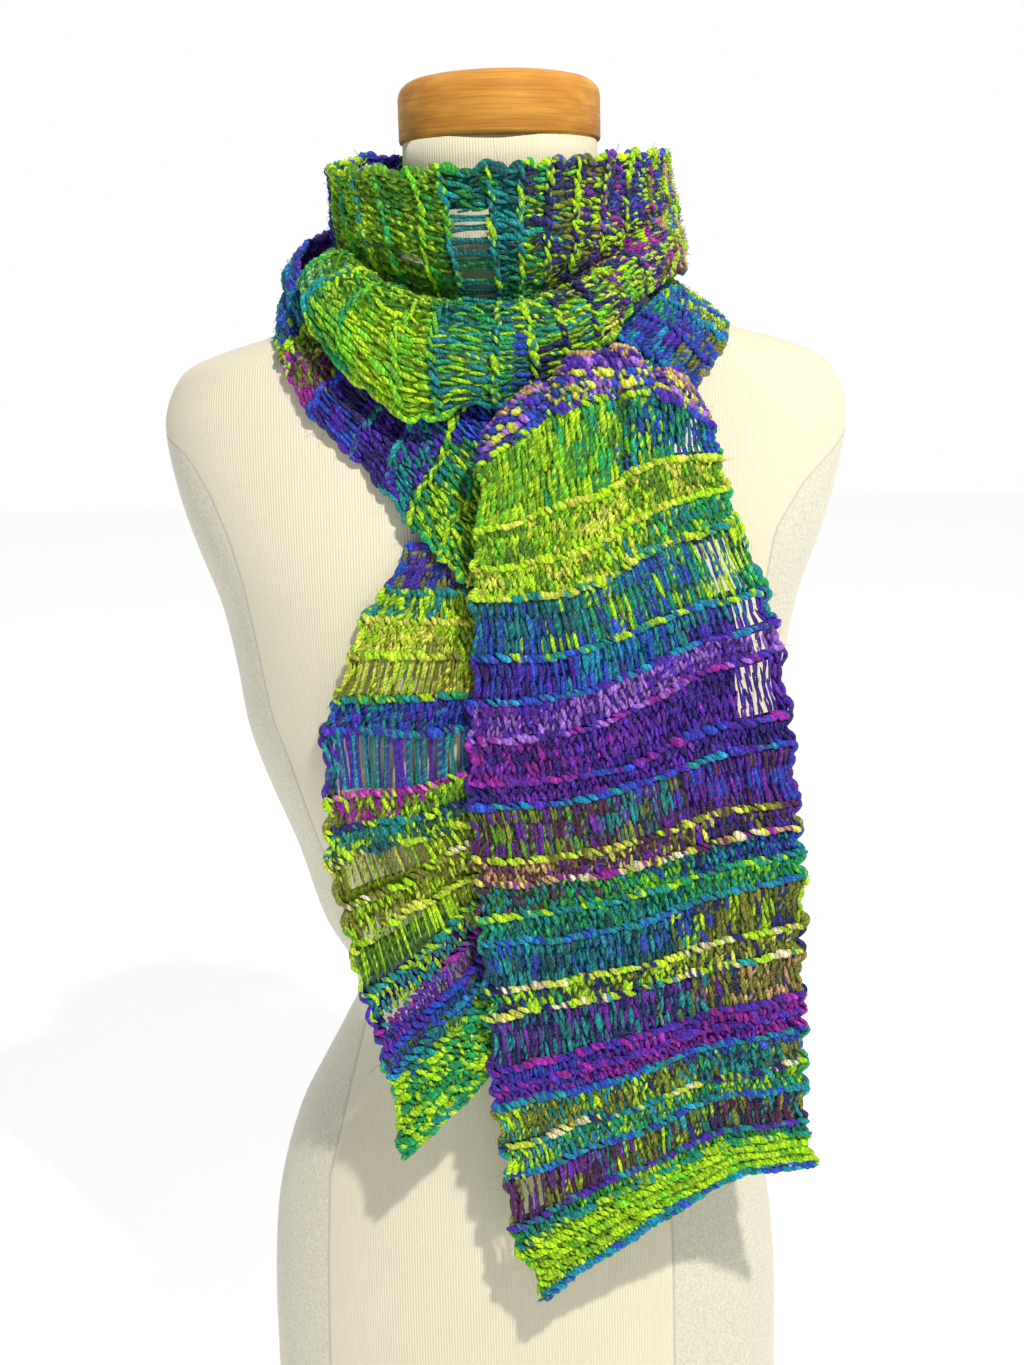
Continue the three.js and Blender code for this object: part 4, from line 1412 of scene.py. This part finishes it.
def backing_material(name, darkest, lightest, depth):
    """The cloth between the stitches, or its reverse: rows of small loops in the yarn's colours, painted lighter on
    the loops' crests and darker in their hollows as painted light and shade.
    """
    material, n, shader = new_material(name)
    flat_x, flat_y = n.flat_place()
    stitch = n.math("MULTIPLY", flat_x, 2 * math.pi / (STITCH * MM))
    sway = n.math("MULTIPLY", n.math("SINE", stitch), 0.9)
    course = n.math("ADD", n.math("MULTIPLY", flat_y, 2 * math.pi / (LOOP_ROW * MM)), sway)
    relief = n.math("ADD", n.math("SINE", course), n.math("MULTIPLY", n.math("COSINE", stitch), 0.35))
    speckle = n.noise(n.place(), LOOP_SPECKLES, 3.0)
    # Painted light and shade: the loops lighter on their crests and darker in the hollows, between darkest and
    # lightest
    light = n.math(
        "MULTIPLY",
        n.spread(relief, -1.2, 1.2, darkest, lightest),
        n.spread(speckle, 0.3, 0.7, 0.6, 1.3),
    )
    n.fill(shader, {
        "Base Color": n.shaded(n.attribute("shade", "Color"), light),
        "Roughness": 0.95,
        "Specular IOR Level": 0.1,
        "Normal": n.bump(relief, 1.0, depth),
    })
    return material


def jersey_material():
    """Cream jersey with fine upright ribs in front, painted darker in their grooves as painted shade, and a greyer
    flecked side panel whose grey is partly painted shade of the form's shaded sides.
    """
    material, n, shader = new_material("cream_jersey")
    flat_x, _ = n.flat_place()
    edge = n.attribute("panel_edge")
    from_seam = n.math("ABSOLUTE", edge)
    side = n.spread(edge, -0.4, 0.4)
    rib = n.math("SINE", n.math("MULTIPLY", flat_x, 2 * math.pi / (JERSEY_RIB * MM)))
    fine = n.noise(n.place(), JERSEY_FIBRES, 3.0)
    broad = n.noise(n.place(), JERSEY_PATCHES, 3.0)
    fleck = n.noise(n.place(), JERSEY_FLECKS)
    # Painted shade in the rib grooves
    front = n.mix(n.spread(rib, -1.0, 1.0, 0.0, 0.5), CREAM, RIB_GROOVE_SHADE)
    front = n.mix(n.spread(broad, 0.3, 0.7, 0.0, 0.35), front, CREAM_PATCH)
    # The side panel: a flecked grey, partly its own melange and partly painted shade
    panel = n.mix(n.spread(fleck, 0.35, 0.65), PANEL_DARK_AND_SHADE, PANEL_LIGHT_AND_SHADE)
    cloth = n.mix(side, front, panel)
    ribs = n.math("MULTIPLY", rib, n.spread(side, 0.0, 1.0, 0.5, 0.12))
    dip = n.spread(from_seam, 0.0, 1.6, -2.0, 0.0)
    height = n.math("ADD", n.math("ADD", ribs, dip), n.math("MULTIPLY", fine, 0.8))
    n.fill(shader, {
        "Base Color": n.mix(n.spread(from_seam, 0.3, 1.0, 0.6, 0.0), cloth, SEAM_LINE),
        "Roughness": 0.9,
        "Specular IOR Level": 0.15,
        "Sheen Weight": 0.2,
        "Normal": n.bump(height, 0.5, 0.0004),
    })
    return material


def wood_material():
    """Honey-coloured turned wood with fine level grain and a satin lacquer."""
    material, n, shader = new_material("turned_wood")
    grain = n.mapped(Scale=(1.0, 1.0, 26.0))
    lines, pores = n.noise(grain, WOOD_LINES, 6.0), n.noise(grain, WOOD_PORES)
    bands = n.noise(n.mapped(Rotation=(0.0, 0.05, 0.4), Scale=(1.0, 6.0, 14.0)), WOOD_BANDS, 3.0)
    colour = n.mix(n.spread(bands, 0.3, 0.7), WOOD_DARK, WOOD_LIGHT)
    colour = n.mix(n.spread(lines, 0.45, 0.7, 0.0, 0.65), colour, WOOD_LINE)
    colour = n.mix(n.spread(pores, 0.62, 0.75, 0.0, 0.35), colour, WOOD_PORE)
    n.fill(shader, {
        "Base Color": colour,
        "Roughness": 0.5,
        "Specular IOR Level": 0.12,
        "Normal": n.bump(lines, 0.15, 0.0003),
    })
    return material


def ringed_object(name, rings, low, high):
    """A closed object through rings of points, and its points. Each end has a middle point."""
    levels, sides = rings.shape[:2]
    points = np.concatenate([rings.reshape(-1, 3), [[0, 0, low], [0, 0, high]]])
    base, crown, top = levels * sides, levels * sides + 1, (levels - 1) * sides
    faces = []
    for i in range(0, top, sides):
        for j in range(sides):
            k = (j + 1) % sides
            faces.append((i + j, i + k, i + sides + k, i + sides + j))
    for j in range(sides):
        k = (j + 1) % sides
        faces.append((base, k, j))
        faces.append((crown, top + j, top + k))
    return mesh_object(name, to_frame(points), faces), points


def form_ring(half, front, back):
    """A level ring round the form, rounder than a box and squarer than an oval."""
    angle = 2 * np.pi * np.arange(RING_SIDES) / RING_SIDES + np.pi / 2
    cos, sin = np.cos(angle), np.sin(angle)
    power = 2 / FORM_ROUNDNESS
    depth = np.where(sin < 0, front, back)
    return half * np.sign(cos) * np.abs(cos) ** power, depth * np.sign(sin) * np.abs(sin) ** power


def dress_form(material):
    """The torso in one smooth jersey cover, with its side panels and a flat base."""
    profile = np.stack([FORM[column] for column in ("z", "half", "front", "back")], axis=1)
    shape = smooth_curve(profile, np.linspace(0, 1, FORM_LEVELS))
    shape[:, 0] = np.maximum(shape[:, 0], 0)
    rings = np.array([
        np.stack([*form_ring(half, front, back), np.full(RING_SIDES, z)], axis=1)
        for z, half, front, back in shape
    ])
    obj, points = ringed_object("dress_form_jersey", rings, shape[0, 0], shape[-1, 0])
    left, right = (np.interp(points[:, 2], SIDE_SEAMS["z"], SIDE_SEAMS[k]) for k in ("left", "right"))
    set_points(obj.data, "panel_edge", "FLOAT", np.maximum(-points[:, 0] - left, points[:, 0] - right))
    lengths = np.linalg.norm(np.diff(rings, axis=1, append=rings[:, :1]), axis=2)
    around = np.concatenate([np.zeros((FORM_LEVELS, 1)), np.cumsum(lengths, axis=1)], axis=1)
    around -= around[:, [RING_SIDES // 2]]
    uv = obj.data.uv_layers.new(name="UVMap")
    for polygon in obj.data.polygons:
        corners = [(corner, obj.data.loops[corner].vertex_index) for corner in polygon.loop_indices]
        closing = any(vertex % RING_SIDES == RING_SIDES - 1 for _, vertex in corners)
        for corner, vertex in corners:
            i, j = divmod(vertex, RING_SIDES)
            if i == FORM_LEVELS:
                uv.data[corner].uv = (0, 0)
                continue
            column = RING_SIDES if closing and j == 0 else j
            uv.data[corner].uv = (around[i, column] * MM, points[vertex, 2] * MM)
    finished(obj, "jersey", material)
    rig.replaces(obj, "form_torso")


def neck_cap(material):
    """The turned cap, from its profile."""
    angle = 2 * np.pi * np.arange(RING_SIDES) / RING_SIDES
    radius, z = (CAP_PROFILE[column][1:-1, None] for column in ("radius", "z"))
    z = np.repeat(z, RING_SIDES, 1)
    rings = np.stack([radius * np.cos(angle), radius * np.sin(angle), z], axis=2)
    obj, _ = ringed_object("turned_cap", rings, CAP_PROFILE["z"][0], CAP_PROFILE["z"][-1])
    finished(obj, "wood", material)
    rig.replaces(obj, "form_neck_cap")


# What each stretch is made from. Most of them are draped on the form and alike in the rest.
USUAL = {
    "pleats": NO_PLEATS,
    "bump": 0.95,
    "hidden_from": 1.1,
    "edge_size": 1.6,
    "edge_wave": 0.8,
    "facing": -1,
    "slant": NO_SLANT,
    "open": NOTHING_OPEN,
    "cuts": (0.0, 1.0),
    "held": "draped",
    "rests": ["dress_form_jersey"],
    "hem": None,
}
TAIL = USUAL | {"bump": 1.0, "edge_size": 1.45, "facing": 1, "held": "hung"}
BAND = USUAL | {"pleats": BAND_PLEATS, "edge_wave": 0.4, "stripes": BAND_STRIPES, "slot": "knit_bands"}
STRETCHES = {
    "front_tail": TAIL | {
        "sections": tail_sections(FRONT_TAIL, FRONT_TAIL_STATIONS),
        "pleats": FRONT_TAIL_PLEATS,
        "edge_wave": 1.8,
        "stripes": FRONT_TAIL_STRIPES,
        "open": FRONT_TAIL_OPEN,
        "cuts": (0.0, 0.33, 0.62, 1.0),
        "slot": "knit_front_tail",
        "flat": (0.175, 0.52),
        "rests": ["strand_left_cloth"],
        "hem": "blue teal cyan",
    },
    "left_tail": TAIL | {
        "sections": tail_sections(LEFT_TAIL, LEFT_TAIL_STATIONS),
        "pleats": LEFT_TAIL_PLEATS,
        "hidden_from": 0.56,
        "edge_wave": 1.6,
        "stripes": LEFT_TAIL_STRIPES,
        "slant": LEFT_TAIL_SLANT,
        "open": LEFT_TAIL_OPEN,
        "slot": "knit_left_tail",
        "flat": (0.155, 0.28),
        "hem": "emerald teal",
    },
    "neck_wrap": USUAL | {
        "sections": neck_sections(COWL),
        "pleats": COWL_PLEATS,
        "bump": 0.88,
        "edge_size": 1.9,
        "edge_wave": 1.1,
        "stripes": COWL_STRIPES,
        "open": COWL_OPEN,
        "slot": "knit_cowl",
        "flat": (0.14, 0.33),
    },
    "back_band_inner": BAND | {"sections": neck_sections(INNER_BAND), "flat": (0.09, 0.17)},
    "back_band_outer": BAND | {"sections": neck_sections(OUTER_BAND), "flat": (0.1, 0.215)},
    "strand_left": USUAL | {
        "sections": strand_sections(LEFT_STRAND),
        "pleats": LEFT_STRAND_PLEATS,
        "stripes": LEFT_STRAND_STRIPES,
        "slot": "knit_left_strand",
        "flat": (0.08, 0.3),
    },
    "strand_right": USUAL | {
        "sections": strand_sections(RIGHT_STRAND),
        "facing": 1,
        "stripes": RIGHT_STRAND_STRIPES,
        "slot": "knit_right_strand",
        "flat": (0.075, 0.26),
    },
}


def knit_stretch(name, made, tree, backing):
    """One stretch: its thin cloth, and the yarn pieces that lie on it."""
    cloth = Cloth(made["sections"], made["pleats"], made["facing"])
    knitter = Knitter(cloth, made)
    base = finished(thin_cloth(name + "_cloth", knitter), made["slot"], backing[0])
    base.data.materials.append(backing[1])
    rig.replaces(base, name)
    parts = list(zip(made["cuts"], made["cuts"][1:]))
    yarns = []
    for k, (start, end) in enumerate(parts):
        skein = Skein()
        knitter.knit(skein, start, end)
        if k == 0:
            knitter.selvedge(skein, 0.0, made["edge_size"])
            knitter.selvedge(skein, 1.0, made["edge_size"])
        if end == 1.0 and made["hem"]:
            knitter.bind_off(skein, HEM_PLACE, made["hem"])
        letter = "" if len(parts) == 1 else "_" + "abc"[k]
        yarns.append(finished(spun(skein, name + "_stitches" + letter, tree, YARN_SIDES), made["slot"]))
    skein = Skein()
    knitter.fuzz(skein, int(cloth.length * cloth.width * HAIRS))
    yarns.append(finished(spun(skein, name + "_hairs", tree, HAIR_SIDES), made["slot"]))
    return base, yarns


def add_camera():
    """The photo's camera, before the form."""
    data = bpy.data.cameras.new("camera")
    data.lens, data.sensor_width = LENS, SENSOR
    camera = linked("camera", data)
    place = Vector((0, -CAMERA["distance"], CAMERA["height"])) * MM + Vector(NECK_AXIS)
    tilt = Matrix.Rotation(math.radians(90 - CAMERA["pitch"]), 4, "X")
    roll = Matrix.Rotation(math.radians(-CAMERA["roll"]), 4, "Z")
    camera.matrix_world = Matrix.Translation(place) @ tilt @ roll
    bpy.context.scene.camera = camera


def add_floor():
    """A plain pale floor that glows a little, as a white sweep does."""
    floor = mesh_object("studio_floor", np.array(FLOOR_CORNERS), [(0, 1, 2, 3)])
    material, n, shader = new_material("pale_floor")
    n.fill(shader, {
        "Base Color": (0.8, 0.8, 0.79, 1),
        "Roughness": 0.9,
        "Emission Color": (1, 1, 1, 1),
        "Emission Strength": 0.56,
    })
    floor.data.materials.append(material)
    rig.stage(floor)


def add_light():
    """A soft key from the front right, before a world that is white behind and dim in front."""
    world = bpy.data.worlds.new("studio")
    world.use_nodes = True
    n = Nodes(world.node_tree)
    way = n.put("ShaderNodeTexCoord").outputs["Generated"]
    away = n.put("ShaderNodeSeparateXYZ", {0: way}).outputs["Y"]
    sky = n.mix(n.spread(away, -0.2, 0.6), DIM_SIDE, WHITE_SIDE)
    n.fill(world.node_tree.nodes["Background"], {"Color": sky, "Strength": 1.0})
    bpy.context.scene.world = world
    data = bpy.data.lights.new("key", "AREA")
    data.energy, data.size, data.color = KEY["power"], KEY["size"], KEY["colour"]
    key = linked("key", data)
    key.rotation_euler = (math.radians(90 - KEY["up"]), 0, math.radians(KEY["right"]))
    key.location = Vector(KEY_AIM) + key.rotation_euler.to_matrix() @ Vector((0, 0, KEY["away"]))
    bpy.context.scene.view_settings.view_transform = "Standard"


add_camera()
dress_form(jersey_material())
neck_cap(wood_material())
wool = yarn_tree(yarn_material())
# The face between the stitches is painted very dark, as painted shade in the gaps; the reverse gets only its loops'
# painted light and shade
cloth_faces = (
    backing_material("knit_gaps_painted_shade", darkest=0.16, lightest=0.52, depth=0.0008),
    backing_material("knit_reverse", darkest=0.3, lightest=1.05, depth=0.0016),
)
knitted = {name: knit_stretch(name, made, wool, cloth_faces) for name, made in STRETCHES.items()}
for name, (base, yarns) in knitted.items():
    made = STRETCHES[name]
    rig.sheet(base, flat=made["flat"], held=made["held"], rests_on=made["rests"], with_pieces=yarns)
add_floor()
add_light()

low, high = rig.bounds()
with open("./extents.json", "w") as file:
    json.dump({"cad": [list(cad_low), list(cad_high)], "visual": [list(low), list(high)]}, file)
